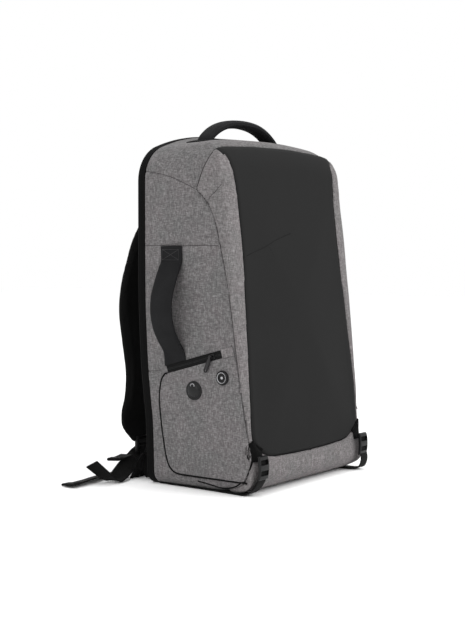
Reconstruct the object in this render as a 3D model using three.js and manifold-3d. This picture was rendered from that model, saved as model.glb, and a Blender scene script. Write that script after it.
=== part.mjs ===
// Anti-theft backpack standing upright, millimetres, +Z up, front towards -Y
// The origin is the middle of its base on the floor
import * as THREE from 'three';
import { mergeVertices } from 'three/addons/utils/BufferGeometryUtils.js';
import Module from 'manifold-3d';

const wasm = await Module();
wasm.setup();

// Driving dimensions of the bag
const bagHeight = 507;
const bagWidth = 300;
const rimFlare = 3;
const footReach = 104;
const frontLean = 56;
const backReach = 84;
const backTuck = 10;
const wall = 4;
const gap = 0.3;
const topCornerRadius = 54;
const topCrown = 21;
const topFall = 10;
const frontTopCrown = 5;
const frontTopCorner = 40;
const footCornerRadius = 18;
const frontCornerRadius = 34;
const topFrontRadius = 44;
const footRise = 30;
const footRound = 52;
const sideRound = 16;
const sideTurn = 9;
const frontCrown = 7;

// Gusset and back
const gussetDepth = 14;
const gussetProud = 1.2;
const gussetWall = 9;
const gussetEdge = 3;
const backCrown = 9;
const backChannel = 5;

// Skins sewn on the shell
const pocketSkin = 1.7;
const tapeSkin = 1.3;
const garageSkin = 1.9;
const tabSkin = 1.8;
const zipWidth = 10.5;
const zipLength = 100;
const zipRise = 26.5;
const garageLength = 21;

// Round fittings on the side
const portRadius = 13.5;
const portHeight = 5;
const audioRadius = 10.2;
const audioHeight = 3.2;
const audioBore = 6.4;
const audioRecess = 1.7;

// Handles
const handleHalfSpan = 87;
const handleRise = 33;
const handleWidth = 26;
const handleThickness = 12;
const handleTabLength = 34;
const handleTabWidth = 34;
const handlePlace = 31;
const sideHandleLength = 172;
const sideHandleWidth = 38;
const sideHandleStandOff = 24;
const sideHandlePad = 7;
const sideHandleEnd = 2.6;

// Webbing and buckles
const webWidth = 25;
const baseWebWidth = 19;
const webThickness = 1.8;
const cornerBuckleWidth = 21;
const cornerBuckleLength = 33;
const cornerBuckleThickness = 4;
const cornerBuckleBow = 2.4;
const lockWidth = 34;
const lockLength = 24;
const lockThickness = 5;
const lockWindow = 4.8;
const wingThickness = 3;

// Shoulder straps
const padWidth = 64;
const padThickness = 13;
const padReach = 67;

// Zip slider and its pull
const sliderLength = 11;
const sliderWidth = 8;
const sliderPlate = 1.4;
const barLength = 4.4;
const barThickness = 1.2;
const postLength = 1.2;
const eyeBore = 1.5;
const eyeWall = 0.8;
const eyeClearance = 0.4;
const pullLength = 24;
const pullWidth = 6;
const pullThickness = 1.6;
const pullHole = 1.5;
const pullLean = 0.42;

// Worked out from the driving dimensions
const halfWidth = bagWidth / 2;
const bagDepth = footReach + backReach;
const backFace = backReach + gussetDepth;
const heightAt = share => share * bagHeight;
const depthAt = share => share * bagDepth - footReach;

// Width of the body by height, as shares of the full height and width
const widthRows = [
  { height: 0, width: 0.955 },
  { height: 0.1, width: 0.968 },
  { height: 0.25, width: 0.985 },
  { height: 0.5, width: 1 },
  { height: 1, width: 1 },
];

// How far the lower back tucks forward, as shares of the height and of backTuck
const tuckRows = [
  { height: 0, tuck: 1 },
  { height: 0.18, tuck: 1 },
  { height: 0.25, tuck: 0.7 },
  { height: 0.32, tuck: 0.4 },
  { height: 0.46, tuck: 0.1 },
  { height: 0.54, tuck: 0 },
  { height: 1, tuck: 0 },
];

// Rounding of the front edges along the sides, as shares of sideRound and sideTurn
const roundRows = [
  { height: 0, inset: 0.9, turn: 0.9 },
  { height: 0.175, inset: 0.95, turn: 0.95 },
  { height: 0.4, inset: 0.95, turn: 0.9 },
  { height: 0.6, inset: 1, turn: 1 },
  { height: 1, inset: 1, turn: 1 },
];

// Seam between the body and its front, as shares of the depth from the foot and of the height
const seamRows = [
  { depth: 0.31, height: -0.08 },
  { depth: 0.3, height: 0.002 },
  { depth: 0.24, height: 0.012 },
  { depth: 0.175, height: 0.018 },
  { depth: 0.11, height: 0.036 },
  { depth: 0.065, height: 0.065 },
  { depth: 0.045, height: 0.1 },
  { depth: 0.062, height: 0.146 },
  { depth: 0.115, height: 0.274 },
  { depth: 0.166, height: 0.396 },
  { depth: 0.218, height: 0.53 },
  { depth: 0.246, height: 0.586 },
  { depth: 0.31, height: 0.692 },
  { depth: 0.367, height: 0.759 },
  { depth: 0.428, height: 0.797 },
  { depth: 0.527, height: 0.83 },
  { depth: 0.494, height: 0.865 },
  { depth: 0.447, height: 0.9 },
  { depth: 0.41, height: 0.926 },
  { depth: 0.385, height: 0.945 },
  { depth: 0.378, height: 1.1 },
];

// Half outline of the dark front panel, as shares of the half width and of the height
const panelRows = [
  { across: 0, height: 0.095 },
  { across: 0.3, height: 0.096 },
  { across: 0.62, height: 0.1 },
  { across: 0.77, height: 0.114 },
  { across: 0.885, height: 0.142 },
  { across: 0.912, height: 0.176 },
  { across: 0.9, height: 0.272 },
  { across: 0.873, height: 0.4 },
  { across: 0.846, height: 0.53 },
  { across: 0.828, height: 0.6 },
  { across: 0.815, height: 0.7 },
  { across: 0.82, height: 0.8 },
  { across: 0.838, height: 0.86 },
  { across: 0.862, height: 0.904 },
  { across: 0.885, height: 0.926 },
  { across: 0.925, height: 0.94 },
  { across: 0.97, height: 1.1 },
];

// Value of one column at a height, straight between the rows
function columnAt(rows, key, value, column) {
  const above = rows.findIndex(row => row[key] >= value);
  if (above < 0) return rows[rows.length - 1][column];
  if (above === 0) return rows[0][column];
  const low = rows[above - 1];
  const high = rows[above];
  const share = (value - low[key]) / (high[key] - low[key]);
  return low[column] + (high[column] - low[column]) * share;
}

const backAt = z => backReach - backTuck * columnAt(tuckRows, 'height', z / bagHeight, 'tuck');
const frontAt = z => -footReach + frontLean * z / bagHeight;
const widthAt = z => columnAt(widthRows, 'height', z / bagHeight, 'width');

// Closed geometry from rings of points, with a centre point closing each end
function ringGeometry(rings, startCentre, endCentre) {
  const count = rings[0].length;
  const points = [startCentre, ...rings.flat(), endCentre];
  const last = points.length - 1;
  const faces = [];
  const ringPoint = (ring, index) => 1 + ring * count + index % count;
  for (let i = 0; i < count; i += 1) {
    faces.push(0, ringPoint(0, i + 1), ringPoint(0, i));
    faces.push(last, ringPoint(rings.length - 1, i), ringPoint(rings.length - 1, i + 1));
    for (let ring = 0; ring < rings.length - 1; ring += 1) {
      const a = ringPoint(ring, i);
      const b = ringPoint(ring, i + 1);
      const c = ringPoint(ring + 1, i + 1);
      const d = ringPoint(ring + 1, i);
      faces.push(a, b, c, a, c, d);
    }
  }
  const geometry = new THREE.BufferGeometry().setFromPoints(points);
  geometry.setIndex(faces);
  return outward(geometry);
}

// Turns a closed geometry's faces outwards
function outward(geometry) {
  const place = geometry.getAttribute('position');
  const index = geometry.getIndex().array;
  const a = new THREE.Vector3();
  const b = new THREE.Vector3();
  const c = new THREE.Vector3();
  let volume = 0;
  for (let i = 0; i < index.length; i += 3) {
    a.fromBufferAttribute(place, index[i]);
    b.fromBufferAttribute(place, index[i + 1]);
    c.fromBufferAttribute(place, index[i + 2]);
    volume += a.dot(b.cross(c));
  }
  if (volume < 0) geometry.setIndex(Array.from(index).reverse());
  return geometry;
}

// Geometry to solid and back
function solidOf(geometry) {
  const bare = geometry.clone();
  bare.deleteAttribute('normal');
  bare.deleteAttribute('uv');
  const merged = mergeVertices(bare, 1e-4);
  return new wasm.Manifold(new wasm.Mesh({
    numProp: 3,
    vertProperties: new Float32Array(merged.getAttribute('position').array),
    triVerts: new Uint32Array(merged.getIndex().array),
  }));
}

function geometryOf(solid) {
  const mesh = solid.getMesh();
  const geometry = new THREE.BufferGeometry();
  geometry.setAttribute('position', new THREE.BufferAttribute(new Float32Array(mesh.vertProperties), 3));
  geometry.setIndex(Array.from(mesh.triVerts));
  return geometry;
}

// Prism over a side view outline of [y, z] pairs, running along X
function prismAlongX(outline, from, to) {
  const shape = new THREE.Shape(outline.map(([y, z]) => new THREE.Vector2(y, z)));
  const geometry = new THREE.ExtrudeGeometry(shape, { depth: to - from, bevelEnabled: false });
  const turn = new THREE.Matrix4().makeBasis(
    new THREE.Vector3(0, 1, 0), new THREE.Vector3(0, 0, 1), new THREE.Vector3(1, 0, 0));
  return solidOf(geometry.applyMatrix4(turn).translate(from, 0, 0));
}

// Prism over a front view outline of [x, z] pairs, running along Y
function prismAlongY(outline, from, to) {
  const shape = new THREE.Shape(outline.map(([x, z]) => new THREE.Vector2(x, z)));
  const geometry = new THREE.ExtrudeGeometry(shape, { depth: to - from, bevelEnabled: false });
  const turn = new THREE.Matrix4().makeBasis(
    new THREE.Vector3(1, 0, 0), new THREE.Vector3(0, 0, 1), new THREE.Vector3(0, -1, 0));
  return solidOf(geometry.applyMatrix4(turn).translate(0, to, 0));
}

// Half of a rounded front view outline from the foot to the crown, each point with its outward normal
function halfOutline(half, foot, top, cornerFoot, cornerTop, crown) {
  const points = [];
  const put = (x, z, nx, nz) => points.push({ x, z, nx, nz });
  const footSteps = 3;
  const cornerSteps = 4;
  const sideSteps = 8;
  const topSteps = 6;
  const crownSteps = 4;
  for (let i = 0; i < footSteps; i += 1) put((half - cornerFoot) * i / footSteps, foot, 0, -1);
  for (let i = 0; i <= cornerSteps; i += 1) {
    const turn = Math.PI / 2 * i / cornerSteps;
    put(half - cornerFoot + cornerFoot * Math.sin(turn), foot + cornerFoot * (1 - Math.cos(turn)),
      Math.sin(turn), -Math.cos(turn));
  }
  // The corner ends where its slope meets that of the crown
  let sweep = Math.PI / 2;
  for (let i = 0; i < 8; i += 1) {
    const end = half - cornerTop * (1 - Math.cos(sweep));
    sweep = Math.PI / 2 - Math.atan(2 * crown / end);
  }
  const crownHalf = half - cornerTop * (1 - Math.cos(sweep));
  const shoulder = top - crown - cornerTop * Math.sin(sweep);
  const sideFoot = foot + cornerFoot;
  for (let i = 1; i < sideSteps; i += 1) put(half, sideFoot + (shoulder - sideFoot) * i / sideSteps, 1, 0);
  for (let i = 0; i <= topSteps; i += 1) {
    const turn = sweep * i / topSteps;
    put(half - cornerTop * (1 - Math.cos(turn)), shoulder + cornerTop * Math.sin(turn),
      Math.cos(turn), Math.sin(turn));
  }
  for (let i = 1; i <= crownSteps; i += 1) {
    const x = crownHalf * (1 - i / crownSteps);
    const slope = Math.atan(2 * crown * x / crownHalf ** 2);
    put(x, top - crown * (x / crownHalf) ** 2, Math.sin(slope), Math.cos(slope));
  }
  return points;
}

// Whole outline, mirrored from its half
function wholeOutline(...sizes) {
  const half = halfOutline(...sizes);
  const mirrored = half.slice(1, -1).reverse().map(point => ({ ...point, x: -point.x, nx: -point.nx }));
  return [...half, ...mirrored];
}

// One ring of the body: ahead runs from 0 at the rim to 1 where the front edges start to round,
// and turn from 0 there to a right angle on the front
function bodyRing(grow, ahead, turn, placeY) {
  const inset = 1 - Math.cos(turn);
  const corner = topCornerRadius + (frontTopCorner - topCornerRadius) * ahead;
  const crown = topCrown + (frontTopCrown - topCrown) * ahead;
  const outline = wholeOutline(
    halfWidth + grow,
    footRise * inset - grow,
    bagHeight - topFall * ahead - topFrontRadius * inset + grow,
    footCornerRadius + (frontCornerRadius - footCornerRadius) * inset + grow,
    corner - (corner - frontCornerRadius) * inset + grow,
    crown * (1 - inset / 2));
  return outline.map(point => {
    const share = Math.min(Math.max(point.z / bagHeight, 0), 1);
    const sideInset = sideRound * columnAt(roundRows, 'height', share, 'inset') * inset;
    const x = point.x * widthAt(point.z) * (1 - sideInset / halfWidth);
    const y = placeY(point, grow);
    const back = backAt(point.z);
    const flare = 1 + rimFlare / halfWidth * Math.min(Math.max(y / back, 0), 1);
    return new THREE.Vector3(x * flare, y, point.z);
  });
}

// Depth of the front rounding at an outline point
function turnDepth(point) {
  const share = Math.min(Math.max(point.z / bagHeight, 0), 1);
  const side = sideTurn * columnAt(roundRows, 'height', share, 'turn');
  const end = point.nz > 0 ? topFrontRadius : footRound;
  return side * point.nx ** 2 + end * point.nz ** 2;
}

// The whole body as one closed solid, grown or shrunk on all sides but the back
function bodySolid(grow, pastBack = 0) {
  const rings = [];
  const middle = 0.5;
  const turnSteps = 4;
  const frontLine = (point, size) => frontAt(point.z) - size + turnDepth(point);
  rings.push(bodyRing(grow, 0, 0, point => backAt(point.z) + pastBack));
  if (pastBack) rings.push(bodyRing(grow, 0, 0, point => backAt(point.z)));
  rings.push(bodyRing(grow, middle, 0, (point, size) =>
    backAt(point.z) * (1 - middle) + frontLine(point, size) * middle));
  for (let i = 0; i <= turnSteps; i += 1) {
    const turn = Math.PI / 2 * i / turnSteps;
    rings.push(bodyRing(grow, 1, turn, (point, size) =>
      frontAt(point.z) - size + turnDepth(point) * (1 - Math.sin(turn))));
  }
  // The front bulges a little towards its middle
  const rim = rings[rings.length - 1];
  const centreZ = bagHeight / 2;
  for (const shrink of [0.84, 0.5]) {
    rings.push(rim.map(point => {
      const z = centreZ + (point.z - centreZ) * shrink;
      return new THREE.Vector3(point.x * shrink, frontAt(z) - grow - frontCrown * (1 - shrink ** 2) ** 2, z);
    }));
  }
  const backCentre = new THREE.Vector3(0, backAt(centreZ) + pastBack, centreZ);
  const frontCentre = new THREE.Vector3(0, frontAt(centreZ) - grow - frontCrown, centreZ);
  return solidOf(ringGeometry(rings, backCentre, frontCentre));
}

// Layer that lies on the body between two heights above its surface
const bodyPlus = new Map();
function grownBody(grow) {
  if (!bodyPlus.has(grow)) bodyPlus.set(grow, bodySolid(grow));
  return bodyPlus.get(grow);
}
const skinLayer = (inner, outer) => grownBody(outer).subtract(grownBody(inner));

// Slab that follows the rim of the back, by rows of growth and of distance behind the rim
function rimSlab(rows, crown = 0) {
  const rings = rows.map(({ grow, behind }) => bodyRing(grow, 0, 0, point => backAt(point.z) + behind));
  const last = rows[rows.length - 1];
  const centreZ = bagHeight / 2;
  const rim = rings[rings.length - 1];
  if (crown) {
    for (const shrink of [0.93, 0.7]) {
      rings.push(rim.map(point => {
        const z = centreZ + (point.z - centreZ) * shrink;
        const swell = crown * Math.sqrt(1 - shrink ** 2);
        return new THREE.Vector3(point.x * shrink, backAt(z) + last.behind + swell, z);
      }));
    }
  }
  const start = new THREE.Vector3(0, backAt(centreZ) + rows[0].behind, centreZ);
  const end = new THREE.Vector3(0, backAt(centreZ) + last.behind + crown, centreZ);
  return solidOf(ringGeometry(rings, start, end));
}

// Rounded rectangle across a band, as [across, out] pairs
function bandSection(width, thickness, round) {
  const a = width / 2;
  const b = thickness / 2;
  const cut = Math.min(round, b);
  if (cut === 0) return [[-a, -b], [a, -b], [a, b], [-a, b]];
  return [[-a + cut, -b], [a - cut, -b], [a, -b + cut], [a, b - cut],
    [a - cut, b], [-a + cut, b], [-a, b - cut], [-a, -b + cut]];
}

// Band swept along a route of rows { place, across, out, width, thickness }
function sweptBand(rows, round) {
  const rings = rows.map(row => bandSection(row.width, row.thickness, round * row.thickness)
    .map(([u, v]) => row.place.clone().addScaledVector(row.across, u).addScaledVector(row.out, v)));
  return solidOf(ringGeometry(rings, rows[0].place, rows[rows.length - 1].place));
}

// Smooth route through key rows, with its section square to the route: across is the direction
// of the width all along, or else each key row has its own
function smoothRoute(keys, steps, across) {
  const curve = new THREE.CatmullRomCurve3(keys.map(key => key.place), false, 'centripetal');
  const rows = [];
  for (let i = 0; i <= steps; i += 1) {
    const share = i / steps;
    const low = Math.min(Math.floor(share * (keys.length - 1)), keys.length - 2);
    const between = share * (keys.length - 1) - low;
    const before = keys[low];
    const after = keys[low + 1];
    const tangent = curve.getTangent(share);
    const wide = across ? across.clone() : before.across.clone().lerp(after.across, between);
    const side = wide.addScaledVector(tangent, -wide.dot(tangent)).normalize();
    rows.push({
      place: curve.getPoint(share),
      across: side,
      out: tangent.clone().cross(side).normalize(),
      width: THREE.MathUtils.lerp(before.width, after.width, between),
      thickness: THREE.MathUtils.lerp(before.thickness, after.thickness, between),
    });
  }
  return rows;
}

// The same route with room all round, for what it passes through
function roomAround(rows, room) {
  const first = rows[0];
  const last = rows[rows.length - 1];
  const lead = (row, other) => row.place.clone().sub(other.place).normalize().multiplyScalar(room);
  const longer = rows.map(row => ({
    ...row,
    width: row.width + 2 * room,
    thickness: row.thickness + 2 * room,
  }));
  longer[0].place = first.place.clone().add(lead(first, rows[1]));
  longer[longer.length - 1].place = last.place.clone().add(lead(last, rows[rows.length - 2]));
  return longer;
}

// Materials
const cloth = (name, colour, roughness) => {
  const material = new THREE.MeshStandardMaterial({ color: colour, roughness, metalness: 0 });
  material.name = name;
  return material;
};
const greyCloth = cloth('grey melange fabric', 0x767274, 0.95);
const lightCloth = cloth('light grey melange fabric', 0x8d898a, 0.95);
const darkCloth = cloth('dark coated fabric', 0x303030, 0.7);
const trimCloth = cloth('black trim fabric', 0x262626, 0.9);
const strapCloth = cloth('black webbing', 0x141414, 0.85);
const hardPlastic = cloth('black plastic', 0x1e1e1e, 0.45);
const metalPull = new THREE.MeshStandardMaterial({ color: 0x2c2c2e, roughness: 0.35, metalness: 0.8 });

const backpack = new THREE.Group();
backpack.name = 'backpack';
const largest = solid => solid.decompose().reduce((a, b) => (a.volume() > b.volume() ? a : b));
function add(name, solid, material) {
  const mesh = new THREE.Mesh(geometryOf(solid), material);
  mesh.name = name;
  backpack.add(mesh);
}

// The same open line moved square to itself, to the left of its direction
function offsetLine(line, away) {
  const sides = line.slice(1).map(([a, b], i) => {
    const long = Math.hypot(a - line[i][0], b - line[i][1]);
    return [(line[i][1] - b) / long, (a - line[i][0]) / long];
  });
  return line.map(([a, b], i) => {
    const low = sides[Math.max(i - 1, 0)];
    const high = sides[Math.min(i, sides.length - 1)];
    const stretch = away / (1 + low[0] * high[0] + low[1] * high[1]);
    return [a + (low[0] + high[0]) * stretch, b + (low[1] + high[1]) * stretch];
  });
}

// Seam prism in front of the body, and the same prism held back by a gap
const seamLine = seamRows.map(row => [depthAt(row.depth), heightAt(row.height)]);
const pastFront = -2 * footReach;
function frontZone(back) {
  const line = offsetLine(seamLine, back);
  return prismAlongX([...line, [pastFront, line[line.length - 1][1]], [pastFront, line[0][1]]],
    -bagWidth, bagWidth);
}

// Dark panel prism, and the same prism grown by a gap
function panelZone(grow) {
  const edge = panelRows.map(row => [row.across * halfWidth, heightAt(row.height)]);
  const half = offsetLine(edge, -grow);
  const mirrored = half.slice(1).reverse().map(([x, z]) => [-x, z]);
  return prismAlongY([...half, ...mirrored], pastFront, backReach);
}

// Base straps, by side: shares of the foot's width and depth, and heights in shares of webThickness
const strapLine = 0.875;
const slackRows = {
  left: [
    { out: strapLine, depth: -0.012, height: 0.098 },
    { out: strapLine, depth: -0.018, height: 0.062 },
    { out: 0.877, depth: 0.004, height: 0.034 },
    { out: 0.88, depth: 0.055, height: 0.012 },
    { out: 0.88, depth: 0.12, height: 0.001 },
    { out: 0.88, depth: 0.18, height: 0 },
    { out: 0.865, depth: 0.42, height: 0 },
    { out: 0.865, depth: 0.93, height: 0 },
  ],
  right: [
    { out: strapLine, depth: -0.012, height: 0.098 },
    { out: strapLine, depth: -0.022, height: 0.062 },
    { out: 0.89, depth: -0.028, height: 0.03 },
    { out: 0.885, depth: -0.005, height: 0.008 },
    { out: 0.88, depth: 0.06, height: 0.001 },
    { out: 0.875, depth: 0.18, height: 0 },
    { out: 0.865, depth: 0.42, height: 0 },
    { out: 0.865, depth: 0.93, height: 0 },
  ],
};
const floorLift = webThickness / 2 + gap / 2;
const widthways = new THREE.Vector3(1, 0, 0);
function baseStrapRoute(side) {
  const sign = side === 'left' ? -1 : 1;
  const keys = slackRows[side].map(row => ({
    place: new THREE.Vector3(
      sign * row.out * halfWidth, depthAt(row.depth), floorLift + heightAt(row.height)),
    width: baseWebWidth,
    thickness: webThickness,
  }));
  return smoothRoute(keys, 22, widthways);
}

// Body pieces
const outerBody = grownBody(0);
const strapRoutes = { left: baseStrapRoute('left'), right: baseStrapRoute('right') };
const strapRoom = ['left', 'right'].map(side => sweptBand(roomAround(strapRoutes[side], gap), 0));
const shell = outerBody.subtract(bodySolid(-wall, wall)).subtract(strapRoom[0]).subtract(strapRoom[1]);
const frontSkin = shell.intersect(frontZone(gap));
add('main_shell', shell.subtract(frontZone(0)), greyCloth);
add('front_border', frontSkin.subtract(panelZone(gap)), lightCloth);
add('front_panel', frontSkin.intersect(panelZone(0)), darkCloth);

// Gusset band round the rear rim and the plain padded back inside it
const gussetOuter = rimSlab([
  { grow: gussetProud - gussetEdge / 2, behind: gap },
  { grow: gussetProud, behind: gussetEdge },
  { grow: gussetProud, behind: gussetDepth - gussetEdge },
  { grow: gussetProud - gussetEdge, behind: gussetDepth },
]);
const gussetHole = rimSlab([
  { grow: -gussetWall, behind: 0 },
  { grow: -gussetWall, behind: 2 * gussetDepth },
]);
const gusset = gussetOuter.subtract(gussetHole).subtract(strapRoom[0]).subtract(strapRoom[1]);
add('back_gusset', gusset, trimCloth);
const backPlate = rimSlab([
  { grow: -gussetWall - gap, behind: 2 * gap },
  { grow: -gussetWall - gap, behind: gussetDepth - gussetEdge },
], backCrown);
const backRoom = rimSlab([
  { grow: -gussetWall, behind: 0 },
  { grow: -gussetWall, behind: gussetDepth - gussetEdge + gap },
], backCrown);
const channel = prismAlongY([
  [-backChannel * 3, heightAt(0.12)], [backChannel * 3, heightAt(0.12)],
  [backChannel * 3, heightAt(0.84)], [-backChannel * 3, heightAt(0.84)],
], backFace, backFace + 2 * backCrown);
add('back_panel', backPlate.subtract(channel), trimCloth);

// Side pocket, its zip and the zip's cover
const sideFrom = -bagWidth;
const sideTo = -halfWidth / 2;
const zipAngle = Math.asin(zipRise / zipLength);
const zipStart = { y: depthAt(0.2801) + Math.cos(zipAngle) * zipLength, z: heightAt(0.38377) - zipRise };
const zipAlong = [-Math.cos(zipAngle), Math.sin(zipAngle)];
const zipAcross = [-Math.sin(zipAngle), -Math.cos(zipAngle)];
const zipPoint = (along, across) => [
  zipStart.y + zipAlong[0] * along + zipAcross[0] * across,
  zipStart.z + zipAlong[1] * along + zipAcross[1] * across,
];
const zipBand = (from, to, half) => [
  zipPoint(from, half), zipPoint(to, half), zipPoint(to, -half), zipPoint(from, -half)];
add('pocket_zip_tape', skinLayer(gap, gap + tapeSkin)
  .intersect(prismAlongX(zipBand(0, zipLength, zipWidth / 2), sideFrom, sideTo)), strapCloth);
add('zip_garage', skinLayer(gap, gap + garageSkin)
  .subtract(frontZone(-gap))
  .intersect(prismAlongX(zipBand(zipLength + gap, zipLength + garageLength, zipWidth / 2 + 1),
    sideFrom, sideTo)), greyCloth);

// Rear and lower edge of the pocket, as shares of the depth and of the height
const pocketRows = [
  { depth: 0.815, height: 0.319 },
  { depth: 0.85, height: 0.3 },
  { depth: 0.866, height: 0.27 },
  { depth: 0.87, height: 0.235 },
  { depth: 0.848, height: 0.15 },
  { depth: 0.822, height: 0.087 },
  { depth: 0.79, height: 0.056 },
  { depth: 0.73, height: 0.04 },
  { depth: 0.62, height: 0.037 },
  { depth: -0.1, height: 0.037 },
];
const pocketEdge = zipWidth / 2 + gap;
const pocketOutline = [
  ...pocketRows.map(row => [depthAt(row.depth), heightAt(row.height)]),
  [pastFront, zipPoint(zipLength, pocketEdge)[1]],
  zipPoint(zipLength + garageLength, pocketEdge + 1),
  zipPoint(zipLength, pocketEdge + 1),
  zipPoint(zipLength - gap, pocketEdge),
  zipPoint(gap, pocketEdge),
];
add('pocket_panel', skinLayer(gap, gap + pocketSkin)
  .subtract(frontZone(-gap))
  .intersect(prismAlongX(pocketOutline, sideFrom, sideTo)), greyCloth);

// Round fittings turned on an axis that leaves the side
function roundFitting(profile, depth, height, seat) {
  const geometry = new THREE.LatheGeometry(profile.map(([r, h]) => new THREE.Vector2(r, h)), 24);
  const turn = new THREE.Matrix4().makeRotationZ(Math.PI / 2);
  const x = -halfWidth * widthAt(heightAt(height));
  geometry.applyMatrix4(turn).translate(x, depthAt(depth), heightAt(height));
  return solidOf(geometry).subtract(grownBody(seat));
}
const seatOnPocket = gap + pocketSkin + gap;
const sunk = -wall;
add('usb_port_cover', roundFitting([
  [0, sunk], [portRadius, sunk], [portRadius, seatOnPocket + portHeight * 0.35],
  [portRadius * 0.93, seatOnPocket + portHeight * 0.62],
  [portRadius * 0.75, seatOnPocket + portHeight * 0.83],
  [portRadius * 0.4, seatOnPocket + portHeight * 0.97], [0, seatOnPocket + portHeight],
], 0.539, 0.278, seatOnPocket), hardPlastic);
add('audio_port', roundFitting([
  [0, sunk], [audioRadius, sunk], [audioRadius, seatOnPocket + audioHeight * 0.6],
  [audioRadius * 0.9, seatOnPocket + audioHeight],
  [audioBore + audioRadius * 0.08, seatOnPocket + audioHeight],
  [audioBore, seatOnPocket + audioHeight * 0.8],
  [audioBore, seatOnPocket + audioHeight - audioRecess], [0, seatOnPocket + audioHeight - audioRecess],
], 0.27, 0.3195, seatOnPocket), hardPlastic);

// Top handle on its two sewn feet
const archRows = [
  { along: 1.02, rise: -0.3 },
  { along: 1, rise: 0 },
  { along: 0.9, rise: 0.27 },
  { along: 0.78, rise: 0.5 },
  { along: 0.6, rise: 0.74 },
  { along: 0.38, rise: 0.91 },
  { along: 0, rise: 1 },
];
const handleFoot = bagHeight - topFall;
const handleCrest = handleFoot + handleRise - handleThickness / 2;
const archKeys = archRows.map(row => ({
  along: row.along * (handleHalfSpan - handleThickness / 2),
  height: handleFoot + row.rise * (handleCrest - handleFoot),
}));
const archPath = [
  ...archKeys.map(key => ({ ...key, along: -key.along })),
  ...archKeys.slice(0, -1).reverse(),
];
const archRoute = smoothRoute(archPath.map(key => ({
  place: new THREE.Vector3(key.along, handlePlace, key.height),
  width: handleWidth,
  thickness: handleThickness,
})), 24, new THREE.Vector3(0, 1, 0));
const tabTop = gap + tabSkin;
add('top_handle', sweptBand(archRoute, 0.3).subtract(grownBody(tabTop + gap)), strapCloth);
for (const [side, sign] of [['left', -1], ['right', 1]]) {
  const from = sign * (handleHalfSpan - handleTabLength / 2);
  const to = sign * (handleHalfSpan + handleTabLength / 2);
  const tab = prismAlongY([
    [Math.min(from, to), bagHeight / 2], [Math.max(from, to), bagHeight / 2],
    [Math.max(from, to), 2 * bagHeight], [Math.min(from, to), 2 * bagHeight],
  ], handlePlace - handleTabWidth / 2, handlePlace + handleTabWidth / 2);
  add(`top_handle_tab_${side}`, skinLayer(gap, tabTop).intersect(tab), strapCloth);
}

// Side handle, by rows down its length: shares of its length, stand off and pad thickness
const sideHandleRows = [
  { along: 0, standOff: 0, pad: 0 },
  { along: 0.13, standOff: 0, pad: 0.1 },
  { along: 0.17, standOff: 0.08, pad: 1 },
  { along: 0.28, standOff: 0.5, pad: 1 },
  { along: 0.42, standOff: 0.92, pad: 1 },
  { along: 0.55, standOff: 1, pad: 1 },
  { along: 0.68, standOff: 0.8, pad: 1 },
  { along: 0.78, standOff: 0.4, pad: 1 },
  { along: 0.85, standOff: 0.06, pad: 0.8 },
  { along: 0.89, standOff: 0, pad: 0.1 },
  { along: 1, standOff: 0, pad: 0 },
];
const sideHandleTop = zipStart.z + zipWidth * 0.3 + sideHandleLength;
const sideHandleTopDepth = depthAt(0.745);
const sideHandleFootDepth = depthAt(0.715);
const sideHandleRoute = smoothRoute(sideHandleRows.map(row => {
  const z = sideHandleTop - row.along * sideHandleLength;
  const thickness = sideHandleEnd + (sideHandlePad - sideHandleEnd) * row.pad;
  const y = sideHandleTopDepth + (sideHandleFootDepth - sideHandleTopDepth) * row.along;
  const surface = halfWidth * widthAt(z) * (1 + rimFlare / halfWidth * Math.max(y / backReach, 0));
  return {
    place: new THREE.Vector3(-surface - gap - thickness / 2 - row.standOff * sideHandleStandOff, y, z),
    width: sideHandleWidth,
    thickness,
  };
}), 22, new THREE.Vector3(0, -1, 0));
// Its lower end is cut along the zip
const belowZip = [
  zipPoint(-sideHandleWidth, -zipWidth / 2 - gap), zipPoint(zipLength, -zipWidth / 2 - gap),
  zipPoint(zipLength, sideHandleWidth), zipPoint(-sideHandleWidth, sideHandleWidth),
];
add('side_handle', sweptBand(sideHandleRoute, 0.3)
  .subtract(grownBody(gap))
  .subtract(prismAlongX(belowZip, sideFrom, sideTo)), trimCloth);

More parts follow.
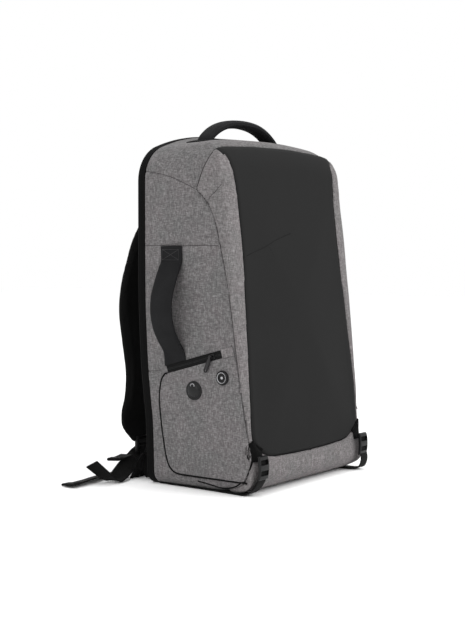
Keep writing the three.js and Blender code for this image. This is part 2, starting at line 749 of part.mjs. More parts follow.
// Front foot corners: sewn tab, buckle and strap on each side
const cornerTabRows = [
  { out: 0.92, height: 0.152 },
  { out: 0.78, height: 0.126 },
  { out: 0.8, height: 0.112 },
  { out: 0.8, height: 0.094 },
  { out: 0.968, height: 0.094 },
  { out: 0.968, height: 0.136 },
];
const buckleTop = 0.112;
for (const [side, sign] of [['left', -1], ['right', 1]]) {
  const outline = cornerTabRows.map(row => [sign * row.out * halfWidth, heightAt(row.height)]);
  const tab = skinLayer(gap, gap + tabSkin).intersect(frontZone(gap))
    .intersect(prismAlongY(outline, pastFront, depthAt(0.3)));
  const room = sweptBand(roomAround(strapRoutes[side], gap), 0);
  add(`corner_tab_${side}`, tab.subtract(room), strapCloth);
  add(`base_strap_${side}`, sweptBand(strapRoutes[side], 0).subtract(grownBody(gap)), strapCloth);
  const steps = 6;
  const bow = i => cornerBuckleBow * (1 - (2 * i / steps - 1) ** 2);
  const rise = i => heightAt(buckleTop) - cornerBuckleLength * i / steps;
  const faceAt = depthAt(0) - webThickness / 2 - gap;
  const outer = [];
  const inner = [];
  for (let i = 0; i <= steps; i += 1) {
    outer.push([faceAt - cornerBuckleThickness - bow(i), rise(i)]);
    inner.push([faceAt - bow(i) * 0.6, rise(i)]);
  }
  const centre = sign * strapLine * halfWidth;
  const half = cornerBuckleWidth / 2;
  const body = prismAlongX([...outer, ...inner.reverse()], centre - half, centre + half);
  const slotHalf = baseWebWidth / 2 - gap;
  const slotAt = share => heightAt(buckleTop) - cornerBuckleLength * share;
  const slot = (from, to) => prismAlongY([
    [centre - slotHalf, slotAt(to)], [centre + slotHalf, slotAt(to)],
    [centre + slotHalf, slotAt(from)], [centre - slotHalf, slotAt(from)],
  ], pastFront, 0);
  add(`corner_buckle_${side}`, body.subtract(slot(0.14, 0.36)).subtract(slot(0.62, 0.84)).subtract(room),
    hardPlastic);
}

// Shoulder pads: shares of the half width, of padReach behind the back face and of the height
const padRows = [
  { out: 0.32, behind: -0.05, height: 0.9, width: 0.85, thick: 0.5 },
  { out: 0.33, behind: 0.14, height: 0.895, width: 0.9, thick: 0.6 },
  { out: 0.35, behind: 0.25, height: 0.865, width: 0.95, thick: 0.9 },
  { out: 0.4, behind: 0.33, height: 0.8, width: 1, thick: 1 },
  { out: 0.47, behind: 0.5, height: 0.745, width: 1, thick: 1 },
  { out: 0.54, behind: 0.66, height: 0.69, width: 1, thick: 1 },
  { out: 0.58, behind: 0.83, height: 0.61, width: 1, thick: 1 },
  { out: 0.59, behind: 0.96, height: 0.53, width: 1, thick: 1 },
  { out: 0.59, behind: 0.97, height: 0.47, width: 1, thick: 1 },
  { out: 0.59, behind: 0.88, height: 0.39, width: 1, thick: 1 },
  { out: 0.59, behind: 0.78, height: 0.3, width: 1, thick: 1 },
  { out: 0.6, behind: 0.79, height: 0.23, width: 1, thick: 1 },
  { out: 0.62, behind: 0.85, height: 0.175, width: 1, thick: 0.95 },
  { out: 0.6, behind: 0.86, height: 0.14, width: 0.9, thick: 0.85 },
  { out: 0.575, behind: 0.77, height: 0.1, width: 0.6, thick: 0.75 },
];
const lockRow = { out: 0.58, behind: 0.73, height: 0.086 };
const strapPlace = (sign, row) => new THREE.Vector3(
  sign * row.out * halfWidth, backFace + row.behind * padReach, floorLift + heightAt(row.height));

// Webbing from the anchor wing, down to the floor and up through the ladder lock
const lowerRows = [
  { out: 0.82, behind: 0.12, height: 0.075 },
  { out: 0.82, behind: 0.26, height: 0.052 },
  { out: 0.82, behind: 0.32, height: 0.034 },
  { out: 0.82, behind: 0.38, height: 0.018 },
  { out: 0.83, behind: 0.46, height: 0.002 },
  { out: 0.76, behind: 0.44, height: 0.006 },
  { out: 0.67, behind: 0.41, height: 0.024 },
  { out: 0.6, behind: 0.54, height: 0.046 },
  { out: 0.57, behind: 0.67, height: 0.061 },
  { out: 0.565, behind: 0.73, height: 0.105 },
];

// Free ends: the left one springs up from the floor, the right one lies along the floor behind the bag
const besideLock = lockRow.behind + (lockThickness / 2 + 5 * gap + webThickness / 2) / padReach;
const tailRows = {
  left: [
    { out: 0.58, behind: besideLock, height: 0.1, turn: 0, tilt: 0, thick: 1 },
    { out: 0.58, behind: besideLock, height: 0.061, turn: 0, tilt: 0, thick: 1 },
    { out: 0.65, behind: 0.78, height: 0.053, turn: -0.3, tilt: -0.4, thick: 1 },
    { out: 0.747, behind: 0.69, height: 0.046, turn: -0.6, tilt: -0.9, thick: 1 },
    { out: 0.933, behind: 0.55, height: 0.032, turn: -0.62, tilt: -0.9, thick: 1 },
    { out: 1.08, behind: 0.455, height: 0.015, turn: -0.85, tilt: -0.5, thick: 1 },
    { out: 1.153, behind: 0.44, height: 0.004, turn: -1, tilt: 0, thick: 1 },
    { out: 1.23, behind: 0.5, height: 0.016, turn: -1, tilt: 0.3, thick: 1 },
    { out: 1.37, behind: 0.66, height: 0.056, turn: -1, tilt: 0.45, thick: 1.4 },
  ],
  right: [
    { out: 0.58, behind: besideLock, height: 0.1, turn: 0, tilt: 0, thick: 1 },
    { out: 0.58, behind: besideLock, height: 0.065, turn: 0, tilt: 0, thick: 1 },
    { out: 0.5, behind: 0.9, height: 0.026, turn: 0.5, tilt: 0, thick: 1 },
    { out: 0.3, behind: 0.95, height: 0.004, turn: 0.9, tilt: 0, thick: 1 },
    { out: -0.2, behind: 1, height: 0, turn: 1, tilt: 0, thick: 1 },
    { out: -0.8, behind: 1.02, height: 0.005, turn: 1, tilt: -0.18, thick: 1 },
    { out: -1.1, behind: 0.98, height: 0.007, turn: 1, tilt: -0.24, thick: 1 },
    { out: -1.32, behind: 0.88, height: 0.007, turn: 1, tilt: -0.22, thick: 1 },
    { out: -1.5, behind: 0.83, height: 0.006, turn: 1, tilt: -0.15, thick: 1.1 },
    { out: -1.53, behind: 0.83, height: 0.006, turn: 1, tilt: -0.14, thick: 2 },
    { out: -1.62, behind: 0.84, height: 0.005, turn: 1, tilt: -0.1, thick: 2 },
  ],
};
const shortTailRows = [
  { out: 0.7, behind: 0.77, height: 0.07, turn: 1, tilt: -0.05, thick: 1 },
  { out: 0.81, behind: 0.77, height: 0.059, turn: 1, tilt: -0.05, thick: 1 },
  { out: 0.88, behind: 0.77, height: 0.056, turn: 1, tilt: -0.08, thick: 1 },
  { out: 0.935, behind: 0.775, height: 0.054, turn: 1, tilt: -0.1, thick: 1.2 },
  { out: 0.95, behind: 0.775, height: 0.054, turn: 1, tilt: -0.1, thick: 2.4 },
  { out: 1.01, behind: 0.775, height: 0.053, turn: 1, tilt: -0.1, thick: 2.4 },
];
const webKeys = (sign, rows) => rows.map(row => ({
  place: strapPlace(sign, row),
  width: webWidth,
  thickness: webThickness * (row.thick || 1),
  across: new THREE.Vector3(
    -sign * Math.cos(row.turn * Math.PI / 2), Math.sin(row.turn * Math.PI / 2), row.tilt),
}));

// Anchor wing at the foot of the back: shares of padReach behind the back face and of the height
const wingRows = [
  { behind: 0, height: 0.13 },
  { behind: 0.06, height: 0.12 },
  { behind: 0.24, height: 0.065 },
  { behind: 0.22, height: 0.02 },
  { behind: 0.16, height: 0.001 },
  { behind: 0.08, height: 0.003 },
  { behind: 0, height: 0.024 },
];
const wingPlace = 0.83 * halfWidth;
for (const [side, sign] of [['left', -1], ['right', 1]]) {
  const padKeys = padRows.map(row => ({
    place: strapPlace(sign, row),
    width: padWidth * row.width,
    thickness: padThickness * row.thick,
  }));
  const lowerKeys = webKeys(sign, lowerRows.map(row => ({ ...row, turn: 0, tilt: 0 })));
  const lowerRoute = smoothRoute(lowerKeys, 20, widthways);
  const lowerRoom = sweptBand(roomAround(lowerRoute, gap), 0);
  const tailRoute = smoothRoute(webKeys(sign, tailRows[side]), 30);
  const lockPlace = strapPlace(sign, lockRow);
  const lockBlock = room => solidOf(new THREE.BoxGeometry(
    lockWidth + 2 * room, lockThickness + 2 * room, lockLength + 2 * room)
    .translate(lockPlace.x, lockPlace.y, lockPlace.z));
  const window = solidOf(new THREE.BoxGeometry(webWidth, 2 * lockThickness, lockWindow)
    .translate(lockPlace.x, lockPlace.y, lockPlace.z - lockWindow));
  const pad = sweptBand(smoothRoute(padKeys, 24, widthways), 0.35);
  const tailRoom = sweptBand(roomAround(tailRoute, 3 * gap), 0);
  add(`shoulder_pad_${side}`, largest(
    pad.subtract(lockBlock(gap)).subtract(lowerRoom).subtract(tailRoom).subtract(backRoom)), strapCloth);
  add(`strap_buckle_${side}`,
    largest(lockBlock(0).subtract(window).subtract(lowerRoom).subtract(tailRoom)), hardPlastic);
  add(`lower_webbing_${side}`, sweptBand(lowerRoute, 0), strapCloth);
  add(`strap_tail_${side}`, sweptBand(tailRoute, 0), strapCloth);
  const wing = wingRows.map(row => [
    backFace + gap + row.behind * padReach, floorLift + heightAt(row.height)]);
  add(`anchor_wing_${side}`, prismAlongX(wing, sign * wingPlace - wingThickness / 2,
    sign * wingPlace + wingThickness / 2).subtract(lowerRoom), trimCloth);
}
// The short free end is sewn to the left tail and lies behind it
const besideTail = sweptBand(smoothRoute(webKeys(-1, shortTailRows), 14), 0)
  .subtract(sweptBand(roomAround(smoothRoute(webKeys(-1, tailRows.left), 30), gap), 0));
add('short_tail', largest(besideTail), strapCloth);

// Zip slider: its plate on the tape, and a bar on two posts for the eye of the pull
const sliderAlong = 0.83 * zipLength;
const [sliderY, sliderZ] = zipPoint(sliderAlong, 0);
const tapeTop = gap + tapeSkin;
const flareAt = y => 1 + rimFlare / halfWidth * Math.min(Math.max(y / backReach, 0), 1);
const sliderBase = -halfWidth * widthAt(sliderZ) * flareAt(sliderY) - tapeTop - gap;
const outwards = new THREE.Vector3(-1, 0, 0);
const zipLine = new THREE.Vector3(0, zipAlong[0], zipAlong[1]);
const zipCross = new THREE.Vector3(0, zipAcross[0], zipAcross[1]);
const pullLine = new THREE.Vector3(0, Math.sin(pullLean), -Math.cos(pullLean));
const hingeLine = pullLine.clone().cross(outwards);
const eyeRadius = eyeBore + eyeWall;
const barHeight = sliderPlate + eyeClearance + eyeRadius;
const sliderFrame = new THREE.Matrix4().makeBasis(zipCross, zipLine, outwards)
  .setPosition(sliderBase, sliderY, sliderZ);
const pullFrame = new THREE.Matrix4().makeBasis(hingeLine, pullLine, outwards)
  .setPosition(sliderBase, sliderY, sliderZ);
const localBox = (frame, sizeX, sizeY, sizeZ, x, y, z) => solidOf(
  new THREE.BoxGeometry(sizeX, sizeY, sizeZ).translate(x, y, z).applyMatrix4(frame));
const plateShape = new THREE.Shape([[-0.32, -0.5], [0.32, -0.5], [0.5, 0.1], [0.42, 0.5], [0.12, 0.5],
  [0, 0.34], [-0.12, 0.5], [-0.42, 0.5], [-0.5, 0.1]]
  .map(([across, along]) => new THREE.Vector2(across * sliderWidth, along * sliderLength)));
const plate = solidOf(new THREE.ExtrudeGeometry(plateShape, { depth: sliderPlate + gap, bevelEnabled: false })
  .translate(0, 0, -gap).applyMatrix4(sliderFrame));
const postHeight = barHeight + barThickness / 2 - sliderPlate / 2;
const postDepth = 2 * barThickness;
const postAt = (barLength + postLength) / 2;
const posts = [-1, 1].map(sign => localBox(pullFrame, postLength, postDepth, postHeight,
  sign * postAt, 0, sliderPlate / 2 + postHeight / 2));
const bar = localBox(pullFrame, barLength + postLength, barThickness, barThickness, 0, 0, barHeight);
add('zip_slider', plate.add(posts[0]).add(posts[1]).add(bar).subtract(grownBody(tapeTop + gap)), hardPlastic);

// Pull: an eye round the bar and a tab with a hole at its end, hanging as it does at rest
const eyeLength = barLength - 2 * eyeClearance;
const eyeSides = 14;
const circle = (radius, x = 0, y = 0) => Array.from({ length: eyeSides }, (_, i) => new THREE.Vector2(
  x + radius * Math.cos(2 * Math.PI * i / eyeSides), y + radius * Math.sin(2 * Math.PI * i / eyeSides)));
const eyeShape = new THREE.Shape(circle(eyeRadius));
eyeShape.holes.push(new THREE.Path(circle(eyeBore)));
const eyeTurn = new THREE.Matrix4().makeBasis(
  new THREE.Vector3(0, 1, 0), new THREE.Vector3(0, 0, 1), new THREE.Vector3(1, 0, 0));
const eye = solidOf(new THREE.ExtrudeGeometry(eyeShape, { depth: eyeLength, bevelEnabled: false })
  .translate(0, 0, -eyeLength / 2).applyMatrix4(eyeTurn).translate(0, 0, barHeight).applyMatrix4(pullFrame));
const neck = eyeLength / 2;
const pullHalf = pullWidth / 2;
const tabShape = new THREE.Shape([
  new THREE.Vector2(-neck, eyeBore + gap), new THREE.Vector2(neck, eyeBore + gap),
  new THREE.Vector2(neck, eyeRadius + 1), new THREE.Vector2(pullHalf, eyeRadius + pullHalf),
  new THREE.Vector2(pullHalf, pullLength - pullHalf),
  new THREE.Vector2(pullHalf * 0.7, pullLength - pullHalf * 0.3),
  new THREE.Vector2(0, pullLength),
  new THREE.Vector2(-pullHalf * 0.7, pullLength - pullHalf * 0.3),
  new THREE.Vector2(-pullHalf, pullLength - pullHalf), new THREE.Vector2(-pullHalf, eyeRadius + pullHalf),
  new THREE.Vector2(-neck, eyeRadius + 1),
]);
tabShape.holes.push(new THREE.Path(circle(pullHole, 0, pullLength - pullHalf)));
const pullTab = solidOf(new THREE.ExtrudeGeometry(tabShape, { depth: pullThickness, bevelEnabled: false })
  .translate(0, 0, barHeight - pullThickness / 2).applyMatrix4(pullFrame));
add('zip_pull', eye.add(pullTab), metalPull);

export default backpack;
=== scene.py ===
import math
import bpy
import bmesh
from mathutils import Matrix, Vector, noise
from mathutils.bvhtree import BVHTree


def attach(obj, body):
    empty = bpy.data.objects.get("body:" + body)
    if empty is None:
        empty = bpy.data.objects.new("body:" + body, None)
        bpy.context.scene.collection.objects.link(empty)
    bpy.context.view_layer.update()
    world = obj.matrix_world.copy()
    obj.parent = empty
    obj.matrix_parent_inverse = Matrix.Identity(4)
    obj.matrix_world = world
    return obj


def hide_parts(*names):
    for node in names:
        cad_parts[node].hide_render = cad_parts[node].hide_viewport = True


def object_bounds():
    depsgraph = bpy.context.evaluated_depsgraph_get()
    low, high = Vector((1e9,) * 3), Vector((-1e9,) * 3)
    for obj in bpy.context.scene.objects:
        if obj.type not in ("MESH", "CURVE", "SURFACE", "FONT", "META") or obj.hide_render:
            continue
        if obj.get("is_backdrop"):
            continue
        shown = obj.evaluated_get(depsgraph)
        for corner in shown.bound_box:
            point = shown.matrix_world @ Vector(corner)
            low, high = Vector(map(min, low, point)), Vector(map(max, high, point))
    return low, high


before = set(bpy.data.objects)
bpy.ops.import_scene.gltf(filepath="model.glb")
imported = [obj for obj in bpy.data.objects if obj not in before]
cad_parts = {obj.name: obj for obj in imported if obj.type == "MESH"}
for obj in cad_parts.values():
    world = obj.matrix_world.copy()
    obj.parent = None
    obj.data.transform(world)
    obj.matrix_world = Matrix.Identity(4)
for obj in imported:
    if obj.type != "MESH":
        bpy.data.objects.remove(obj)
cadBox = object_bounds()
mm = 0.001


# camera, first of all
camera = {"place": (-1485.8, -1076.4, 343.0), "azimuth": -53.0, "down": 2.98, "lens": 71.4}


def placeCamera():
    data = bpy.data.cameras.new("studioCamera")
    view = bpy.data.objects.new("studioCamera", data)
    bpy.context.scene.collection.objects.link(view)
    view.location = Vector(camera["place"]) * mm
    view.rotation_euler = (math.radians(90 - camera["down"]), 0, math.radians(camera["azimuth"]))
    data.lens = camera["lens"]
    data.clip_start = 0.05
    bpy.context.scene.camera = view


placeCamera()


# small helpers for meshes
def settle():
    # nothing stays selected, so an operator acts only on what comes next
    if bpy.context.mode != "OBJECT":
        bpy.ops.object.mode_set(mode="OBJECT")
    bpy.ops.object.select_all(action="DESELECT")


def pick(piece):
    settle()
    piece.select_set(True)
    bpy.context.view_layer.objects.active = piece


def editAll(piece, work):
    # runs edit mode operators on the whole mesh
    pick(piece)
    bpy.ops.object.mode_set(mode="EDIT")
    bpy.ops.mesh.select_all(action="SELECT")
    work()
    bpy.ops.object.mode_set(mode="OBJECT")


def applyAll(piece):
    pick(piece)
    for modifier in list(piece.modifiers):
        bpy.ops.object.modifier_apply(modifier=modifier.name)


def addModifier(piece, kind, **settings):
    modifier = piece.modifiers.new(kind.title(), kind)
    for key, value in settings.items():
        setattr(modifier, key, value)
    return modifier


def smooth(piece, angle=35):
    pick(piece)
    bpy.ops.object.shade_smooth_by_angle(angle=math.radians(angle))


def newPiece(name, mesh):
    # an object at the origin for a finished mesh
    piece = bpy.data.objects.new(name, mesh)
    bpy.context.scene.collection.objects.link(piece)
    return piece


def fromSheet(name, sheet, thick):
    # gives an open sheet of cloth its thickness
    mesh = bpy.data.meshes.new(name)
    sheet.to_mesh(mesh)
    sheet.free()
    piece = newPiece(name, mesh)
    addModifier(piece, "SOLIDIFY", thickness=thick * mm, offset=-1, use_even_offset=False, use_rim=True)
    applyAll(piece)
    smooth(piece, 50)
    return piece


def boxOf(centre, size):
    # a box at its place, size in mm
    settle()
    bpy.ops.mesh.primitive_cube_add(size=1, location=Vector(centre) * mm)
    box = bpy.context.active_object
    box.dimensions = Vector(size) * mm
    bpy.ops.object.transform_apply(location=True, rotation=True, scale=True)
    return box


def cutBox(block, centre, size, rounding=0):
    # takes a box out of a block
    cutter = boxOf(centre, size)
    if rounding:
        addModifier(cutter, "BEVEL", width=rounding * mm, segments=3, affect="EDGES")
        applyAll(cutter)
    addModifier(block, "BOOLEAN", operation="DIFFERENCE", object=cutter, solver="EXACT")
    applyAll(block)
    bpy.data.objects.remove(cutter)


def roundEdges(piece, width, segments, angle):
    addModifier(piece, "BEVEL", width=width * mm, segments=segments, limit_method="ANGLE",
                angle_limit=math.radians(angle))
    applyAll(piece)
    smooth(piece, 40)


def gridPiece(name, rows, closed=True, caps=True, uv=True):
    # a grid whose rows of points (mm) are its lines across; closed joins each row's ends
    count = len(rows[0]) + (1 if closed else 0)
    settle()
    bpy.ops.mesh.primitive_grid_add(x_subdivisions=count - 1, y_subdivisions=len(rows) - 1, size=1,
                                    calc_uvs=True)
    piece = bpy.context.active_object
    piece.name = name
    piece.data.name = name
    mesh = piece.data
    spots = []
    for row in rows:
        spots += [Vector(p) * mm for p in row]
        if closed:
            spots.append(Vector(row[0]) * mm)
    for vertex, spot in zip(mesh.vertices, spots):
        vertex.co = spot
    if uv:
        # the map is in metres: x across the piece, y along it
        around = [0.0]
        middle = rows[len(rows) // 2]
        for i in range(1, count):
            around.append(around[-1] + (Vector(middle[i % len(middle)]) - Vector(middle[i - 1])).length * mm)
        along = [0.0]
        for low, high in zip(rows, rows[1:]):
            along.append(along[-1] + (Vector(high[0]) - Vector(low[0])).length * mm)
        layer = mesh.uv_layers.active.data
        for loop in mesh.loops:
            layer[loop.index].uv = (around[loop.vertex_index % count], along[loop.vertex_index // count])

    def close():
        bpy.ops.mesh.remove_doubles(threshold=1e-6)
        if closed and caps:
            bpy.ops.mesh.select_all(action="DESELECT")
            bpy.ops.mesh.select_non_manifold()
            bpy.ops.mesh.fill_holes(sides=0)
            bpy.ops.mesh.select_all(action="SELECT")
        bpy.ops.mesh.normals_make_consistent(inside=False)
    editAll(piece, close)
    return piece


def columnAt(rows, key, value, column):
    # value of a column, eased between the rows
    if value <= rows[0][key]:
        return rows[0][column]
    for i in range(len(rows) - 1):
        low, high = rows[i], rows[i + 1]
        if value <= high[key]:
            share = (value - low[key]) / (high[key] - low[key])
            before = rows[max(i - 1, 0)]
            after = rows[min(i + 2, len(rows) - 1)]
            span = high[key] - low[key]
            slopeLow = slopeHigh = high[column] - low[column]
            if i:
                slopeLow = (high[column] - before[column]) / (high[key] - before[key]) * span
            if i < len(rows) - 2:
                slopeHigh = (after[column] - low[column]) / (after[key] - low[key]) * span
            s2, s3 = share * share, share ** 3
            return ((2 * s3 - 3 * s2 + 1) * low[column] + (s3 - 2 * s2 + share) * slopeLow
                    + (3 * s2 - 2 * s3) * high[column] + (s3 - s2) * slopeHigh)
    return rows[-1][column]


def asRows(names, *values):
    return [dict(zip(names, row)) for row in values]


# the bag's own form, in mm and shares of its sizes
bag = {
    "height": 507, "half": 150, "rimFlare": 3, "foot": 104, "lean": 56, "back": 84, "tuck": 10,
    "topCorner": 54, "topCrown": 21, "topFall": 10, "frontCrown": 5, "frontTopCorner": 40, "footCorner": 18,
    "frontCorner": 34, "topFront": 44, "footRise": 30, "footRound": 52, "sideRound": 16, "sideTurn": 9,
    "bulge": 7, "gussetDepth": 14,
    "width": asRows(("z", "v"), (0, 0.955), (0.1, 0.968), (0.25, 0.985), (0.5, 1), (1, 1)),
    "tuckBy": asRows(("z", "v"), (0, 1), (0.18, 1), (0.25, 0.7), (0.32, 0.4), (0.46, 0.1), (0.54, 0), (1, 0)),
    "round": asRows(("z", "inset", "turn"), (0, 0.9, 0.9), (0.175, 0.95, 0.95), (0.4, 0.95, 0.9),
                    (0.6, 1, 1), (1, 1, 1)),
}
depth = bag["foot"] + bag["back"]


def yAt(share):
    return share * depth - bag["foot"]


def zAt(share):
    return share * bag["height"]


def backAt(z):
    return bag["back"] - bag["tuck"] * columnAt(bag["tuckBy"], "z", z / bag["height"], "v")


def frontAt(z):
    return -bag["foot"] + bag["lean"] * z / bag["height"]


def widthAt(z):
    return columnAt(bag["width"], "z", z / bag["height"], "v")


def halfOutline(half, foot, top, cornerFoot, cornerTop, crown):
    points = []
    footSteps, cornerSteps, sideSteps, topSteps, crownSteps = 14, 8, 76, 18, 14
    for i in range(footSteps):
        points.append(((half - cornerFoot) * i / footSteps, foot, 0, -1))
    for i in range(cornerSteps + 1):
        turn = math.pi / 2 * i / cornerSteps
        points.append((half - cornerFoot + cornerFoot * math.sin(turn),
                       foot + cornerFoot * (1 - math.cos(turn)),
                       math.sin(turn), -math.cos(turn)))
    sweep = math.pi / 2
    for _ in range(8):
        sweep = math.pi / 2 - math.atan(2 * crown / (half - cornerTop * (1 - math.cos(sweep))))
    crownHalf = half - cornerTop * (1 - math.cos(sweep))
    shoulder = top - crown - cornerTop * math.sin(sweep)
    for i in range(1, sideSteps):
        points.append((half, foot + cornerFoot + (shoulder - foot - cornerFoot) * i / sideSteps, 1, 0))
    for i in range(topSteps + 1):
        turn = sweep * i / topSteps
        points.append((half - cornerTop * (1 - math.cos(turn)), shoulder + cornerTop * math.sin(turn),
                       math.cos(turn), math.sin(turn)))
    for i in range(1, crownSteps + 1):
        x = crownHalf * (1 - i / crownSteps)
        slope = math.atan(2 * crown * x / crownHalf ** 2)
        points.append((x, top - crown * (x / crownHalf) ** 2, math.sin(slope), math.cos(slope)))
    return points


def bodyRing(grow, ahead, turn, placeY):
    inset = 1 - math.cos(turn)
    corner = bag["topCorner"] + (bag["frontTopCorner"] - bag["topCorner"]) * ahead
    crown = bag["topCrown"] + (bag["frontCrown"] - bag["topCrown"]) * ahead
    half = halfOutline(bag["half"] + grow, bag["footRise"] * inset - grow,
                       bag["height"] - bag["topFall"] * ahead - bag["topFront"] * inset + grow,
                       bag["footCorner"] + (bag["frontCorner"] - bag["footCorner"]) * inset + grow,
                       corner - (corner - bag["frontCorner"]) * inset + grow, crown * (1 - inset / 2))
    whole = half + [(-x, z, -nx, nz) for x, z, nx, nz in reversed(half[1:-1])]
    ring = []
    for x, z, nx, nz in whole:
        share = min(max(z / bag["height"], 0), 1)
        sideInset = bag["sideRound"] * columnAt(bag["round"], "z", share, "inset") * inset
        x = x * widthAt(z) * (1 - sideInset / bag["half"])
        y = placeY(z, nx, nz)
        flare = 1 + bag["rimFlare"] / bag["half"] * min(max(y / backAt(z), 0), 1)
        ring.append((x * flare, y, z))
    return ring


def turnDepth(z, nx, nz):
    share = min(max(z / bag["height"], 0), 1)
    side = bag["sideTurn"] * columnAt(bag["round"], "z", share, "turn")
    return side * nx ** 2 + (bag["topFront"] if nz > 0 else bag["footRound"]) * nz ** 2


def bodyRows(grow=0.0):
    # rings from the rim at the back round to the middle of the front
    rows = []
    sideRings, turnRings = 42, 14
    for i in range(sideRings):
        ahead = i / sideRings
        rows.append(bodyRing(grow, ahead, 0, lambda z, nx, nz: backAt(z) * (1 - ahead)
                             + (frontAt(z) - grow + turnDepth(z, nx, nz)) * ahead))
    for i in range(turnRings + 1):
        turn = math.pi / 2 * i / turnRings
        rows.append(bodyRing(grow, 1, turn, lambda z, nx, nz: frontAt(z) - grow
                             + turnDepth(z, nx, nz) * (1 - math.sin(turn))))
    rim = rows[-1]
    middle = bag["height"] / 2
    for shrink in (0.985, 0.96, 0.93, 0.89, 0.84, 0.78, 0.7, 0.6, 0.5, 0.39, 0.27, 0.15, 0.05, 0.0):
        rows.append([(x * shrink, frontAt(middle + (z - middle) * shrink) - grow
                      - bag["bulge"] * (1 - shrink ** 2) ** 2, middle + (z - middle) * shrink) for x, y,
                      z in rim])
    return rows


def softly(mesh, size, scale, seed, keep=None):
    # slow hand-made unevenness along the normals, the same on every run
    moves = []
    for vertex in mesh.vertices:
        away = noise.noise(vertex.co / scale + Vector((seed, seed * 2, -seed)))
        away += 0.4 * noise.noise(vertex.co / scale * 2.3 + Vector((-seed, seed, seed)))
        amount = 1 if keep is None else keep(vertex.co)
        moves.append(vertex.normal * away * size * amount)
    for vertex, move in zip(mesh.vertices, moves):
        vertex.co += move


print("body form")
bodyBase = gridPiece("bodyBase", bodyRows(), closed=True, caps=False, uv=False)


def foldBody(co):
    # less unevenness at the rim and on the foot, more on the sides
    z = co.z / mm
    return min(max((backAt(z) - co.y / mm) / 30, 0), 1) * min(max(z / 60, 0), 1)


softly(bodyBase.data, 0.9 * mm, 0.085, 3.1, foldBody)
bodyMesh = bmesh.new()
bodyMesh.from_mesh(bodyBase.data)
bodyTree = BVHTree.FromBMesh(bodyMesh)


def onSide(y, z, sign=-1, lift=0.0):
    hit, normal, _, _ = bodyTree.ray_cast(Vector((sign * 0.3, y * mm, z * mm)), Vector((-sign, 0, 0)))
    return hit + normal * lift * mm, normal


def onFront(x, z, lift=0.0):
    hit, normal, _, _ = bodyTree.ray_cast(Vector((x * mm, -0.3, z * mm)), Vector((0, 1, 0)))
    return hit + normal * lift * mm, normal


def onTop(x, y, lift=0.0):
    hit, normal, _, _ = bodyTree.ray_cast(Vector((x * mm, y * mm, 0.7)), Vector((0, 0, -1)))
    return hit + normal * lift * mm, normal


def flatOf(co, view):
    # a point's two coordinates in the side, front or top view, in mm
    first, second = {"side": (1, 2), "front": (0, 2), "top": (0, 1)}[view]
    return co[first] / mm, co[second] / mm


def nearLine(line, a, b):
    # signed distance of a point from an open line, positive to its left
    best, signed = 1e9, 0.0
    for (a0, b0), (a1, b1) in zip(line, line[1:]):
        da, db = a1 - a0, b1 - b0
        square = da * da + db * db
        if square < 1e-9:
            continue
        share = min(max(((a - a0) * da + (b - b0) * db) / square, 0), 1)
        off = math.hypot(a - a0 - da * share, b - b0 - db * share)
        if off < best:
            best = off
            signed = off if da * (b - b0) - db * (a - a0) > 0 else -off
    return signed


def score(work, line, view, offsets=(0,), allowed=None, reach=8):
    # cuts the mesh along a line drawn in a side, front or top view, and along lines beside it
    far = reach + max(abs(away) for away in offsets)
    lowA, highA = min(a for a, b in line) - far, max(a for a, b in line) + far
    lowB, highB = min(b for a, b in line) - far, max(b for a, b in line) + far
    pool = set()
    for face in work.faces:
        centre = face.calc_center_median()
        a, b = flatOf(centre, view)
        if lowA < a < highA and lowB < b < highB and not (allowed and not allowed(centre, face.normal)):
            if abs(nearLine(line, a, b)) < far:
                pool.add(face)
    for away in offsets:
        shifted = offsetLine(line, away) if away else line
        for (a0, b0), (a1, b1) in zip(shifted, shifted[1:]):
            long = math.hypot(a1 - a0, b1 - b0)
            if long < 1e-4:
                continue
            ta, tb = (a1 - a0) / long, (b1 - b0) / long
            near = []
            for face in pool:
                a, b = flatOf(face.calc_center_median(), view)
                along, beside = (a - a0) * ta + (b - b0) * tb, (b - b0) * ta - (a - a0) * tb
                if -1.5 <= along <= long + 1.5 and abs(beside) < reach:
                    near.append(face)
            if not near:
                continue
            geometry = set(near)
            for face in near:
                geometry.update(face.edges)
                geometry.update(face.verts)
            if view == "side":
                place, across = Vector((0, a0, b0)), Vector((0, -tb, ta))
            elif view == "front":
                place, across = Vector((a0, 0, b0)), Vector((-tb, 0, ta))
            else:
                place, across = Vector((a0, b0, 0)), Vector((-tb, ta, 0))
            cut = bmesh.ops.bisect_plane(work, geom=list(geometry), dist=0.00004, plane_co=place * mm,
                                         plane_no=across)
            pool.update(part for part in cut["geom"] if isinstance(part, bmesh.types.BMFace))
            pool = {face for face in pool if face.is_valid}


def press(work, line, view, profile, allowed=None):
    # moves the cloth in and out beside a seam; profile gives mm outwards by distance in mm
    reach = max(abs(away) for away, _ in profile)
    table = asRows(("away", "out"), *profile)
    lowA, highA = min(a for a, b in line) - reach, max(a for a, b in line) + reach
    lowB, highB = min(b for a, b in line) - reach, max(b for a, b in line) + reach
    moves = []
    for vertex in work.verts:
        a, b = flatOf(vertex.co, view)
        if lowA < a < highA and lowB < b < highB and not (allowed and not allowed(vertex.co, vertex.normal)):
            away = nearLine(line, a, b)
            if abs(away) < reach:
                moves.append((vertex, vertex.normal * columnAt(table, "away", away, "out") * mm))
    for vertex, move in moves:
        vertex.co += move


def inside(polygon, a, b):
    found = False
    for (a0, b0), (a1, b1) in zip(polygon, polygon[1:] + polygon[:1]):
        if (b0 > b) != (b1 > b) and a < (a1 - a0) * (b - b0) / (b1 - b0) + a0:
            found = not found
    return found


